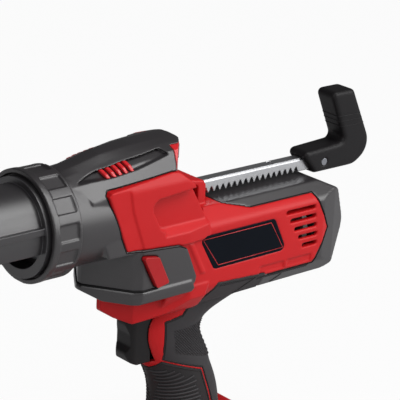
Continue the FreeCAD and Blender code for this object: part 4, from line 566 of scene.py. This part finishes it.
def side_run(
    tree: BVHTree, line: Sequence[Spot], side: int, lift_mm: float, step_mm: float,
) -> list[Vector]:
    """Lay a line, drawn in the side view, on one side of a surface.

    Args:
        tree: The surface.
        line: Corners of the line, of which the last only gives the direction.
        side: One for the left side, minus one for the right.
        lift_mm: Height over the surface.
        step_mm: Spacing of the points.

    Returns:
        The points that meet the surface, in metres.
    """
    points = []
    for (x0, z0), (x1, z1) in zip(line, line[1:]):
        count = max(1, round(math.dist((x0, z0), (x1, z1)) / step_mm))
        for i in range(count):
            t = i / count
            spot, normal = meet(tree, x0 + (x1 - x0) * t, z0 + (z1 - z0) * t, side)
            if spot is not None:
                points.append(spot + normal * lift_mm * MM)
    return points


def side_runs(
    tree: BVHTree, lines: Sequence[Sequence[Spot]], lift_mm: float = 0.0, step_mm: float = 1.5,
    least: int = 2,
) -> list[list[Vector]]:
    """Lay lines, drawn in the side view, on both sides of a surface.

    Args:
        tree: The surface.
        lines: The lines.
        lift_mm: Height over the surface.
        step_mm: Spacing of the points.
        least: Points that a run needs to be kept.

    Returns:
        The runs of points, in metres.
    """
    runs = [side_run(tree, line, side, lift_mm, step_mm) for line in lines for side in SIDES]
    return [run for run in runs if len(run) >= least]


@dataclass(frozen=True)
class Knurl:
    """An area of the soft skin that small pyramids cover.

    Attributes:
        corners: The area's four corners in the side view.
        pitch: Spacing of the pyramids, in mm.
        height: Height of a pyramid, in mm.
        root: Depth of its base under the surface, in mm.
        fill: Half the diagonal of its base, as a share of the pitch.
        extent: Side of the square that is searched for places, in mm.
        facing: Least part of the surface's normal that points to the side.
    """

    corners: Line
    pitch: float
    height: float
    root: float = 0.2
    fill: float = 0.46
    extent: float = 60.0
    facing: float = 0.25

    def spots(self) -> list[Vector]:
        """Place the pyramids in staggered rows.

        Returns:
            X and Z of each place in the area, in mm.
        """
        quad = [Vector(corner) for corner in self.corners]
        left = min(corner.x for corner in quad)
        low = min(corner.y for corner in quad)
        count = round(self.extent / self.pitch)
        grid = [
            Vector((left + self.pitch * (column + row % 2 / 2), low + self.pitch / 2 * row))
            for row in range(count) for column in range(count)
        ]
        return [spot for spot in grid if intersect_point_quad_2d(spot, *quad)]

    def pyramid(self, made: bmesh.types.BMesh, place: Vector, normal: Vector) -> None:
        """Add one pyramid.

        Args:
            made: The mesh that takes it.
            place: Its place on the surface, in metres.
            normal: The surface's normal there.
        """
        along = (Vector((1, 0, 0)) - normal * normal.x).normalized()
        across = normal.cross(along)
        half = self.pitch * self.fill * MM
        sunk = place - normal * self.root * MM
        arms = [axis * half * sign for sign in (1, -1) for axis in (along, across)]
        base = [made.verts.new(sunk + arm) for arm in arms]
        tip = made.verts.new(place + normal * self.height * MM)
        made.faces.new(reversed(base))
        for start, end in zip(base, base[1:] + base[:1]):
            made.faces.new((start, end, tip))

    def build(self, name: str, tree: BVHTree) -> bpy.types.Object:
        """Cover the area on both sides.

        Args:
            name: Name of the piece.
            tree: The surface that carries the pyramids.

        Returns:
            The new piece.
        """
        made = bmesh.new()
        for side in SIDES:
            for spot in self.spots():
                place, normal = meet(tree, spot.x, spot.y, side)
                if place is not None and normal.y * side >= self.facing:
                    self.pyramid(made, place, normal)
        bmesh.ops.recalc_face_normals(made, faces=made.faces)
        return add_mesh(name, made)


@dataclass(frozen=True)
class FingerRibs:
    """The ribs under the fingers in the side view, each an arc that sags, in mm.

    Attributes:
        count: Ribs on a side.
        top: Height of the first rib's lowest place.
        pitch: Spacing of the ribs.
        middle: X of the first rib's lowest place.
        drift: How far each rib's lowest place lies behind the one above.
        arc: Radius of the first rib, and what a rib's number and its cube add to it.
        span: Share of its radius that a rib covers to either side.
        front: X of the foremost point.
        step: Spacing of the points along X.
        points: Points along X.
        roof: A place on the panel's upper edge, with the edge's rise along X and the margin
            kept under it.
        back: A place on the panel's rear edge, with the edge's run along Z and the margin kept
            in front of it.
        radius: Radius of a rib's bead.
        lift: Height of the bead's middle over the skin.
        least: Points that a rib needs to be kept.
    """

    count: int = 18
    top: float = 119.0
    pitch: float = 2.5
    middle: float = 17.0
    drift: float = 1.0
    arc: Triple = (15.0, 2.0, 0.5)
    span: float = 0.9
    front: float = 30.0
    step: float = 2.0
    points: int = 28
    roof: tuple[Spot, float, float] = ((-15.5, 118.2), 0.378, 6.0)
    back: tuple[Spot, float, float] = ((-15.5, 115.3), 0.355, 5.0)
    radius: float = 0.7
    lift: float = 0.2
    least: int = 4

    def inside(self, x: float, z: float) -> bool:
        """Test whether a place lies inside the panel's margins.

        Args:
            x: Its X, in mm.
            z: Its Z, in mm.

        Returns:
            Whether it does.
        """
        (roof_x, roof_z), rise, under = self.roof
        (back_x, back_z), run, ahead = self.back
        below = z < roof_z + rise * (x - roof_x) - under
        return below and x > back_x + run * (z - back_z) + ahead

    def line(self, number: int) -> list[Spot]:
        """Draw one rib.

        Args:
            number: Its number, from zero at the top.

        Returns:
            Its points in the side view.
        """
        low = self.top - self.pitch * number
        base, gain, swell = self.arc
        radius = base + gain * number + swell * number ** 3
        middle = self.middle - self.drift * number
        points = []
        for step in range(self.points):
            x = self.front - self.step * step
            if abs(x - middle) > radius * self.span:
                continue
            z = low + radius - math.sqrt(radius ** 2 - (x - middle) ** 2)
            if self.inside(x, z):
                points.append((x, z))
        return points

    def build(self, name: str, tree: BVHTree) -> bpy.types.Object:
        """Lay the ribs on both sides of the skin's surface, as one new piece of that name."""
        lines = [self.line(number) for number in range(self.count)]
        return bead(name, side_runs(tree, lines, self.lift, least=self.least), self.radius)


@dataclass(frozen=True)
class Soft:
    """How the edges of a moulding are rounded off, inside and out.

    Attributes:
        voxel_mm: Edge of the cells that the form is rebuilt from.
        passes: Rounds of smoothing, each about one cell wide.
        keep: Share of the faces that stays.
    """

    voxel_mm: float
    passes: int
    keep: float

    def apply(self, node: bpy.types.Object) -> None:
        """Add the modifiers that rebuild, smooth and thin out the mesh.

        Args:
            node: The CAD node, whose own mesh stays as it is.
        """
        cells = node.modifiers.new("cells", "REMESH")
        cells.mode = "VOXEL"
        cells.voxel_size = self.voxel_mm * MM
        cells.use_smooth_shade = True
        smooth = node.modifiers.new("smooth", "SMOOTH")
        smooth.factor = 0.5
        smooth.iterations = self.passes
        thin = node.modifiers.new("thin", "DECIMATE")
        thin.ratio = self.keep


@dataclass
class SubAssembly:
    """A group of CAD nodes that are dressed together, with the small pieces added to them.

    Attributes:
        finishes: Finish of each CAD node.
        softness: Nodes whose edges are rounded off, and how.
    """

    finishes: dict[str, Finish] = field(default_factory=dict)
    softness: dict[str, Soft] = field(default_factory=dict)

    def dress(self) -> None:
        """Give each CAD node its finish, and round off its edges where that is asked for."""
        for name, finish in self.finishes.items():
            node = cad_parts[name]
            if node.material_slots:
                for slot in node.material_slots:
                    slot.material = finish.material()
            else:
                node.data.materials.append(finish.material())
            if name in self.softness:
                self.softness[name].apply(node)
            LOG.info("%s has %s", name, finish.name)

    def build(self) -> None:
        """Add the pieces that the CAD nodes leave out; a group without any adds none."""


@dataclass
class CartridgeEnd(SubAssembly):
    """Cradle and ring nut."""

    finishes: dict[str, Finish] = field(default_factory=lambda: {
        "ring_nut": BLACK_NYLON, "cradle_trough": CRADLE_NYLON, "cradle_flange": CRADLE_NYLON,
        "cradle_end_cap": CRADLE_NYLON,
    })
    softness: dict[str, Soft] = field(default_factory=lambda: {
        "ring_nut": Soft(voxel_mm=0.5, passes=3, keep=0.3),
    })


@dataclass
class Nose(SubAssembly):
    """Nose housing with its accent bars and the speed dial.

    Attributes:
        lip_centre: X and Z of the place that the painted shadow of the groove over the chin's band
            goes round, in mm.
        lip_sweep: Steps of the groove to either side of straight ahead.
        lip_step: Angle of one step, in degrees.
        lip_radius: Radius of the dark bead that paints the groove's shadow, in mm.
        gap: Line where the nose meets the red frame, in the side view, in mm, along which a dark
            bead paints the gap's shadow.
        gap_radius: Radius of that line, in mm.
        rim_half: Half the thickness of the dial's rim, in mm.
        figures: How many figures are printed on the rim.
        figure_spacing: Angle from one figure to the next, in degrees.
        figure_height: Height of a printed figure, in mm.
        font_share: Size of the font for a figure that is one unit high.
        ink: Thickness of the print, in mm.
    """

    finishes: dict[str, Finish] = field(default_factory=lambda: {
        "nose_housing": BLACK_NYLON, "accent_bars": ACCENT_RED, "dial_bezel": ACCENT_RED,
        "guide_plate": HOBBED_STEEL, "guide_plate_screws": ZINC_STEEL, "dial_pot": INNER_NYLON,
        "speed_dial": DIAL_ACETAL_PAINTED_LIGHT,
    })
    softness: dict[str, Soft] = field(default_factory=lambda: {
        "nose_housing": Soft(voxel_mm=0.4, passes=26, keep=0.2),
        "accent_bars": Soft(voxel_mm=0.3, passes=6, keep=0.5),
    })
    lip_centre: Spot = (40.0, 192.3)
    lip_sweep: int = 44
    lip_step: float = 2.0
    lip_radius: float = 0.8
    gap: Line = (
        (20.0, 265.4), (29.0, 266.2), (78.8, 262.2), (81.3, 259.2), (65.6, 219.8), (24.0, 216.5),
        (17.0, 213.4),
    )
    gap_radius: float = 0.4
    rim_half: float = 4.0
    figures: int = 6
    figure_spacing: float = 40.0
    figure_height: float = 5.2
    font_share: float = 1.4
    ink: float = 0.05

    def draw_joints(self) -> None:
        """Lay dark beads that paint the shadow of the groove round the chin and of the gap where
        the nose meets the frame.
        """
        nose = surface_of("nose_housing")
        x, z = self.lip_centre
        centre = Vector((x, 0, z)) * MM
        steps = range(-self.lip_sweep, self.lip_sweep + 1)
        angles = [math.radians(self.lip_step * step) for step in steps]
        lip = [meet_level(nose, centre, angle, REACH) for angle in angles]
        # A dark bead paints the shadow in the groove over the chin's band; another paints the
        # shadow in the gap at the frame.
        groove = bead("chin_groove_shadow", [[spot for spot in lip if spot is not None]], self.lip_radius)
        join_body(groove, "housing", GAP_SHADOW_NYLON)
        gap = bead("frame_gap_shadow", side_runs(nose, [self.gap]), self.gap_radius)
        join_body(gap, "housing", GAP_SHADOW_NYLON)

    def print_figure(self, number: int, middle: Vector, radius: float) -> None:
        """Print one figure on the rim of the dial.

        Args:
            number: The figure.
            middle: Middle of the rim, in metres.
            radius: Radius of the rim, in metres.
        """
        place = number - (self.figures + 1) / 2
        angle = math.pi + place * math.radians(self.figure_spacing)
        outward = Vector((math.cos(angle), math.sin(angle), 0))
        right = Vector((-math.sin(angle), math.cos(angle), 0))
        upward = Vector((0, 0, 1))
        data = bpy.data.curves.new(f"dial_figure_{number}", "FONT")
        data.body = str(number)
        data.size = self.figure_height * self.font_share * MM
        data.align_x = "CENTER"
        data.align_y = "CENTER"
        data.extrude = self.ink * MM
        piece = add_piece(data.name, data)
        turned = Matrix((right, upward, outward)).transposed().to_4x4()
        spot = middle + outward * (radius + self.ink * MM)
        piece.matrix_world = Matrix.Translation(spot) @ turned
        join_body(piece, "dial", WHITE_INK)

    def build(self) -> None:
        """Lay the nose's painted gap shadows, and print the figures on the dial."""
        self.draw_joints()
        low, high = (Vector(corner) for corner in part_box("speed_dial"))
        middle = Vector(((low.x + high.x) / 2, 0, high.z - self.rim_half * MM))
        for number in range(1, self.figures + 1):
            self.print_figure(number, middle, (high.x - low.x) / 2)


@dataclass
class Housing(SubAssembly):
    """The two shells with their soft skins, badges and rear cap; sizes in mm.

    Attributes:
        badge: Corners of the badge in the side view.
        badge_margin: How far the printed line runs inside the badge's upper and lower edge.
        badge_slant: How many times wider the margin is at the slanted ends.
        badge_face: Distance of the badge's face from the middle plane.
        badge_lift: Height of the line's middle over that face.
        badge_radius: Radius of the line.
        cover: Corners of the covers that close the gears' pockets beside the rod.
        cover_span: Distance of a cover's two faces from the middle plane.
        knurl: The knurled area on the palm panel.
        ribs: The ribs on the finger panel.
        palm_edge: Line just inside the palm panel's edge, where a dark bead paints the seam's
            shadow.
        finger_edge: Line just inside the finger panel's edge, where a dark bead paints the seam's
            shadow.
        cap_edge: Line just inside the rear cap's edge, where a dark bead paints the gap's shadow.
        edge_radius: Radius of those three lines.
        grooves: Seams across the belly of the soft skin, whose shadow a dark bead paints.
        groove_radius: Radius of a seam's line.
        hatches: Ends of the rows of short ribs along the belly.
        hatch_pitch: Spacing of the short ribs.
        hatch_half: How far a short rib reaches along X and Z from its middle.
        hatch_tail: Length of the last stretch, which only gives a rib's direction.
        hatch_step: Spacing of a short rib's points.
        hatch_radius: Radius of a short rib.
    """

    # The finger panel's darker rubber is painted shade between its ribs.
    finishes: dict[str, Finish] = field(default_factory=lambda: {
        "housing_left": RED_SHELL, "housing_right": RED_SHELL, "rear_cap": BLACK_NYLON,
        "palm_overmould": GRIP_RUBBER, "finger_overmould": GROOVE_SHADE_RUBBER, "badge_left": NAVY_FILM,
        "badge_right": NAVY_FILM, "housing_screws": ZINC_STEEL, "rear_guide": INNER_NYLON,
    })
    softness: dict[str, Soft] = field(default_factory=lambda: {
        "housing_left": Soft(voxel_mm=0.7, passes=2, keep=0.22),
        "housing_right": Soft(voxel_mm=0.7, passes=2, keep=0.22),
        "rear_cap": Soft(voxel_mm=0.8, passes=5, keep=0.3),
    })
    badge: Line = ((4.5, 217.0), (-61.0, 217.3), (-72.7, 193.4), (-9.4, 192.8))
    badge_margin: float = 2.2
    badge_slant: float = 1.5
    badge_face: float = 29.04
    badge_lift: float = 0.05
    badge_radius: float = 0.3
    cover: Line = ((-1.3, 231.4), (7.1, 246.2), (8.8, 246.2), (0.4, 231.4))
    cover_span: tuple[float, float] = (12.5, 19.7)
    knurl: Knurl = Knurl(
        corners=((9.6, 151.8), (-34.0, 152.5), (-34.0, 119.0), (7.6, 132.8)),
        pitch=1.9, height=0.85,
    )
    ribs: FingerRibs = FingerRibs()
    palm_edge: Line = (
        (-50.0, 179.2), (-14.0, 181.2), (3.4, 158.0), (15.7, 155.1), (15.2, 129.2), (-16.9, 117.1),
        (-26.7, 90.2), (-32.8, 66.0),
    )
    finger_edge: Line = (
        (24.0, 121.2), (21.0, 121.5), (16.2, 126.2), (-14.7, 114.4), (-23.6, 90.0), (-29.7, 66.0),
    )
    cap_edge: Line = (
        (-43.0, 227.7), (-98.0, 227.7), (-112.4, 201.0), (-99.0, 177.9), (-57.0, 177.9),
    )
    edge_radius: float = 0.45
    grooves: tuple[Line, ...] = (
        ((-34.6, 167.0), (-48.8, 179.6)), ((-66.5, 169.0), (-74.3, 175.7)),
    )
    groove_radius: float = 0.4
    hatches: tuple[Line, ...] = (
        ((-17.0, 179.8), (-45.0, 178.6)), ((-51.0, 176.8), (-95.0, 176.6)),
    )
    hatch_pitch: float = 1.8
    hatch_half: Spot = (0.6, 1.1)
    hatch_tail: float = 0.1
    hatch_step: float = 0.6
    hatch_radius: float = 0.3

    def badge_line(self, side: int) -> list[Vector]:
        """Draw the printed line on one badge.

        Args:
            side: One for the left side, minus one for the right.

        Returns:
            The line's corners, in metres.
        """
        middle_x = sum(x for x, _ in self.badge) / len(self.badge)
        middle_z = sum(z for _, z in self.badge) / len(self.badge)
        face = side * (self.badge_face + self.badge_lift)
        points = []
        for x, z in self.badge:
            inner_x = x - math.copysign(self.badge_margin * self.badge_slant, x - middle_x)
            inner_z = z - math.copysign(self.badge_margin, z - middle_z)
            points.append(Vector((inner_x, face, inner_z)) * MM)
        return points

    def hatch(self, ends: Line) -> list[Line]:
        """Draw the short slanted ribs along one row.

        Args:
            ends: The row's two ends.

        Returns:
            The ribs in the side view.
        """
        (x0, z0), (x1, z1) = ends
        half_x, half_z = self.hatch_half
        count = round(abs(x1 - x0) / self.hatch_pitch)
        ribs = []
        for i in range(count + 1):
            x = x0 + (x1 - x0) * i / count
            z = z0 + (z1 - z0) * i / count
            head = (x - half_x, z + half_z)
            tail = (head[0] - self.hatch_tail, head[1] + self.hatch_tail)
            ribs.append(((x + half_x, z - half_z), head, tail))
        return ribs

    def build_sides(self) -> None:
        """Add the badge line and the gear cover of each side."""
        for side, word in zip(SIDES, ("left", "right")):
            corners = self.badge_line(side)
            line = bead(f"badge_line_{word}", [corners], self.badge_radius, closed=True)
            join_body(line, "housing", RED_INK)
            near, far = (side * distance for distance in self.cover_span)
            join_body(plate(f"gear_cover_{word}", self.cover, near, far), "housing", RED_SHELL)

    def build_grip(self) -> None:
        """Add the relief of the two grip panels, and dark lines of painted seam shadow along the
        panels and the cap.
        """
        palm = surface_of("palm_overmould")
        finger = surface_of("finger_overmould")
        join_body(self.knurl.build("palm_knurl", palm), "housing", GRIP_RUBBER)
        join_body(self.ribs.build("finger_ribs", finger), "housing", GRIP_RUBBER)
        # The three lines are dark beads that paint the shadow of the seams and of the gap at the
        # cap.
        for name, tree, line, finish in (
            ("palm_seam_shadow", palm, self.palm_edge, SEAM_SHADOW_RUBBER),
            ("finger_seam_shadow", finger, self.finger_edge, SEAM_SHADOW_RUBBER),
            ("cap_gap_shadow", surface_of("rear_cap"), self.cap_edge, GAP_SHADOW_NYLON),
        ):
            join_body(bead(name, side_runs(tree, [line]), self.edge_radius), "housing", finish)

    def build_belly(self) -> None:
        """Add dark lines of painted seam shadow and the short ribs under the belly."""
        belly = surface_of("palm_overmould", "rear_cap")
        # Dark beads paint the shadow in the seams across the belly.
        seams = bead("belly_seam_shadows", side_runs(belly, self.grooves), self.groove_radius)
        join_body(seams, "housing", SEAM_SHADOW_RUBBER)
        ribs = [rib for row in self.hatches for rib in self.hatch(row)]
        runs = side_runs(belly, ribs, step_mm=self.hatch_step)
        join_body(bead("belly_hatch", runs, self.hatch_radius), "housing", GRIP_RUBBER)

    def build(self) -> None:
        """Add the badge lines, the gear covers, the relief of the soft skins and their painted
        seam shadows.
        """
        self.build_sides()
        self.build_grip()
        self.build_belly()


@dataclass
class Drive(SubAssembly):
    """Gears, motor and bearings inside the shells."""

    finishes: dict[str, Finish] = field(default_factory=lambda: {
        "rod_pinion": HOBBED_STEEL, "spur_wheel": HOBBED_STEEL, "spur_pinion_shaft": HOBBED_STEEL,
        "bevel_wheel": HOBBED_STEEL, "bevel_pinion": HOBBED_STEEL, "planet_carrier": HOBBED_STEEL,
        "planet_gear_a": HOBBED_STEEL, "planet_gear_b": HOBBED_STEEL,
        "planet_gear_c": HOBBED_STEEL, "gear_case": INNER_NYLON, "rotor_sun": HOBBED_STEEL,
        "motor": NICKEL_CAN, "motor_mounts": INNER_NYLON, "motor_fan": INNER_NYLON,
        "shaft_bushes": SINTERED_BRONZE,
    })


@dataclass
class PushRod(SubAssembly):
    """Rack rod with plunger and pull handle.

    Attributes:
        ring_heights: Heights of the rings on the handle's upright, in mm.
        ring_points: Points of one ring.
        ring_reach: How far off the upright the rays start that look for it, in mm.
        ring_radius: Radius of a ring's line, in mm.
        upright: X of the upright's middle at the first ring, and its lean per mm of height.
    """

    finishes: dict[str, Finish] = field(default_factory=lambda: {
        "rack_rod": DRAWN_STEEL, "plunger": BLACK_NYLON, "plunger_screw": ZINC_STEEL,
        "pull_handle": HANDLE_POLYPROPYLENE, "handle_pin": ZINC_STEEL,
    })
    softness: dict[str, Soft] = field(default_factory=lambda: {
        "pull_handle": Soft(voxel_mm=0.7, passes=8, keep=0.35),
    })
    ring_heights: Triple = (262.6, 266.4, 270.1)
    ring_points: int = 40
    ring_reach: float = 50.0
    ring_radius: float = 0.35
    upright: tuple[float, float] = (-144.0, 0.28)

    def build(self) -> None:
        """Lay three thin rings round the upright of the handle."""
        surface = surface_of("pull_handle")
        lead, lean = self.upright
        angles = [math.tau * step / self.ring_points for step in range(self.ring_points)]
        runs = []
        for height in self.ring_heights:
            centre = Vector((lead + lean * (height - self.ring_heights[0]), 0, height)) * MM
            ring = [meet_level(surface, centre, angle, self.ring_reach * MM) for angle in angles]
            runs.append([spot for spot in ring if spot is not None])
        rings = bead("handle_rings", runs, self.ring_radius, closed=True)
        join_body(rings, "rod", HANDLE_POLYPROPYLENE)


@dataclass
class Controls(SubAssembly):
    """Trigger, switch, cross button, board and terminals."""

    finishes: dict[str, Finish] = field(default_factory=lambda: {
        "trigger": ACETAL_BLACK, "switch_module": INNER_NYLON, "cross_button": BUTTON_RED,
        "control_board": SOLDER_MASK, "terminal_block": INNER_NYLON,
        "terminal_blades": SINTERED_BRONZE,
    })
    softness: dict[str, Soft] = field(default_factory=lambda: {
        "trigger": Soft(voxel_mm=0.5, passes=6, keep=0.4),
    })


@dataclass
class Battery(SubAssembly):
    """The slide-on battery; sizes in mm.

    Attributes:
        rib_count: Grip ribs on each side.
        rib_length: Length of a rib.
        rib_width: Width of a rib.
        rib_pitch: Spacing of the ribs.
        rib_base: Height of the lowest rib over the battery's underside.
    """

    finishes: dict[str, Finish] = field(default_factory=lambda: {
        "battery_tray": BLACK_NYLON, "battery_lid": BLACK_NYLON, "battery_cells": CELL_SLEEVE,
        "battery_latch": ACCENT_RED,
    })
    rib_count: int = 4
    rib_length: float = 34.0
    rib_width: float = 1.6
    rib_pitch: float = 4.2
    rib_base: float = 8.5

    def build(self) -> None:
        """Add the grip ribs on both sides of the battery."""
        low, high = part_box("battery_tray")
        middle = (low[0] + high[0]) / 2
        half = self.rib_length / 2 * MM
        runs = []
        for side in (low[1], high[1]):
            for number in range(self.rib_count):
                height = low[2] + (self.rib_base + self.rib_pitch * number) * MM
                runs.append([Vector((x, side, height)) for x in (middle - half, middle + half)])
        join_body(bead("battery_ribs", runs, self.rib_width / 2), "battery", BLACK_NYLON)


@dataclass(frozen=True)
class SoftBox:
    """A square soft box that faces the tool.

    Attributes:
        name: Name of the lamp.
        toward: Direction from the tool to the lamp, in the row's axes.
        distance: Distance from the tool, in metres.
        size: Edge of the box, in metres.
        watts: Power.
    """

    name: str
    toward: Triple
    distance: float
    size: float
    watts: float

    def hang(self, target: Vector) -> None:
        """Hang the lamp.

        Args:
            target: The place that it faces, in metres.
        """
        data = bpy.data.lights.new(self.name, "AREA")
        data.shape = "SQUARE"
        data.size = self.size
        data.energy = self.watts
        piece = add_piece(self.name, data)
        out = Vector(self.toward).normalized()
        piece.location = target + out * self.distance
        piece.rotation_euler = out.to_track_quat("Z", "Y").to_euler()


@dataclass
class Studio:
    """Camera, lamps, room and floor.

    Attributes:
        eye: Place of the camera, in mm.
        right: Direction of the picture's right edge.
        up: Direction of the picture's top edge.
        back: Direction from the object to the camera.
        lens: Focal length, in mm.
        sensor: Width of the sensor, in mm.
        horizon: How far the camera sees, in metres.
        target: The place that the lamps face, in mm.
        lamps: The lamps.
        floor_half: Half the floor's edge, in metres.
        floor_drop: How far the floor lies under the battery, in mm.
    """

    eye: Triple = (823.0, 954.0, 676.5)
    right: Triple = (-0.75985, 0.64819, 0.04938)
    up: Triple = (-0.17978, -0.28261, 0.94221)
    back: Triple = (0.62471, 0.70708, 0.33134)
    lens: float = 185.85
    sensor: float = 36.0
    horizon: float = 50.0
    target: Triple = (-10.0, 0.0, 210.0)
    lamps: tuple[SoftBox, ...] = (
        SoftBox("side_softbox", (-0.60, 0.70, 0.34), distance=1.4, size=0.9, watts=12.0),
        SoftBox("front_softbox", (0.80, 0.45, 0.45), distance=1.6, size=0.8, watts=8.0),
        SoftBox("top_softbox", (-0.25, 0.45, 0.85), distance=1.4, size=0.8, watts=12.0),
    )
    floor_half: float = 12.0
    floor_drop: float = 0.5

    def camera(self) -> None:
        """Place the camera at the photograph's viewpoint."""
        data = bpy.data.cameras.new("studio_camera")
        data.lens = self.lens
        data.sensor_width = self.sensor
        data.sensor_fit = "HORIZONTAL"
        data.clip_end = self.horizon
        piece = add_piece("studio_camera", data)
        axes = [Vector(axis).normalized() for axis in (self.right, self.up, self.back)]
        turned = Matrix(axes).transposed().to_4x4()
        piece.matrix_world = Matrix.Translation(Vector(self.eye) * MM) @ turned
        bpy.context.scene.camera = piece

    def room(self) -> None:
        """Light the room softly, and show it white to the camera and through clear pieces."""
        world = bpy.data.worlds.new("studio")
        bpy.context.scene.world = world
        world.use_nodes = True
        tree = world.node_tree
        tree.nodes.clear()
        path = add_node(tree, "ShaderNodeLightPath")
        seen = add_node(tree, "ShaderNodeMath", {
            0: path.outputs["Is Camera Ray"], 1: path.outputs["Is Transmission Ray"],
        }, operation="MAXIMUM").outputs[0]
        # Mirrored rays see the dim room, which keeps the black plastics black.
        dim = add_node(tree, "ShaderNodeBackground", {
            "Color": linear("#F4F5F7"), "Strength": 0.10,
        }).outputs["Background"]
        white = add_node(tree, "ShaderNodeBackground", {
            "Color": linear("#FFFFFF"), "Strength": 1.0,
        }).outputs["Background"]
        mix = add_node(tree, "ShaderNodeMixShader", {"Fac": seen, 1: dim, 2: white})
        add_node(tree, "ShaderNodeOutputWorld", {"Surface": mix.outputs["Shader"]})

    def floor_paint(self) -> bpy.types.Material:
        """Paint the floor: pale to the lamps, and white to the camera with a painted soft contact
        shadow.

        Returns:
            The material.
        """
        material = bpy.data.materials.new("painted_studio_floor")
        material.use_nodes = True
        tree = material.node_tree
        tree.nodes.clear()
        path = add_node(tree, "ShaderNodeLightPath")
        direct = add_node(tree, "ShaderNodeMath", {
            0: path.outputs["Is Camera Ray"], 1: path.outputs["Is Transmission Ray"],
        }, operation="MAXIMUM").outputs[0]
        # Mirrored rays see a quarter of the white, as the black plastics reflect little of it.
        mirrored = add_node(tree, "ShaderNodeMath", {
            0: path.outputs["Is Glossy Ray"], 1: 0.25,
        }, operation="MULTIPLY").outputs[0]
        either = add_node(tree, "ShaderNodeMath", {
            0: direct, 1: mirrored,
        }, operation="MAXIMUM").outputs[0]
        # The rest is the painted floor itself, with the shadow that the lamps cast.
        seen = add_node(tree, "ShaderNodeMath", {
            0: either, 1: 0.95,
        }, operation="MULTIPLY").outputs[0]
        paint = add_node(tree, "ShaderNodeBsdfDiffuse", {
            "Color": linear("#C4C4C6"), "Roughness": 0.5,
        }).outputs["BSDF"]
        # Painted contact shadow: occlusion darkens the white that the camera sees near the tool.
        nearby = add_node(tree, "ShaderNodeAmbientOcclusion", {"Distance": 0.16}, samples=12)
        shadow = add_node(tree, "ShaderNodeMix", {
            "Factor": nearby.outputs["AO"],
            MIX_FROM: linear("#8E8E91"), MIX_TO: linear("#FFFFFF"),
        }, data_type="RGBA").outputs[MIX_RESULT]
        glow = add_node(tree, "ShaderNodeEmission", {
            "Color": shadow, "Strength": 1.0,
        }).outputs["Emission"]
        mix = add_node(tree, "ShaderNodeMixShader", {"Fac": seen, 1: paint, 2: glow})
        add_node(tree, "ShaderNodeOutputMaterial", {"Surface": mix.outputs["Shader"]})
        return material

    def floor(self) -> None:
        """Lay the floor under the battery."""
        made = bmesh.new()
        bmesh.ops.create_grid(made, x_segments=4, y_segments=4, size=self.floor_half)
        piece = add_mesh("studio_floor", made)
        piece.location.z = -self.floor_drop * MM
        piece.data.materials.append(self.floor_paint())

    def build(self) -> None:
        """Set up the whole studio."""
        bpy.context.scene.view_settings.view_transform = "Standard"
        self.camera()
        self.room()
        self.floor()
        for lamp in self.lamps:
            lamp.hang(Vector(self.target) * MM)


def main() -> None:
    """Build the studio and each sub-assembly."""
    logging.basicConfig(level=logging.INFO, format="%(name)s: %(message)s")
    Studio().build()
    for group in (CartridgeEnd(), Nose(), Housing(), Drive(), PushRod(), Controls(), Battery()):
        group.dress()
        group.build()


if __name__ == "__main__":
    main()
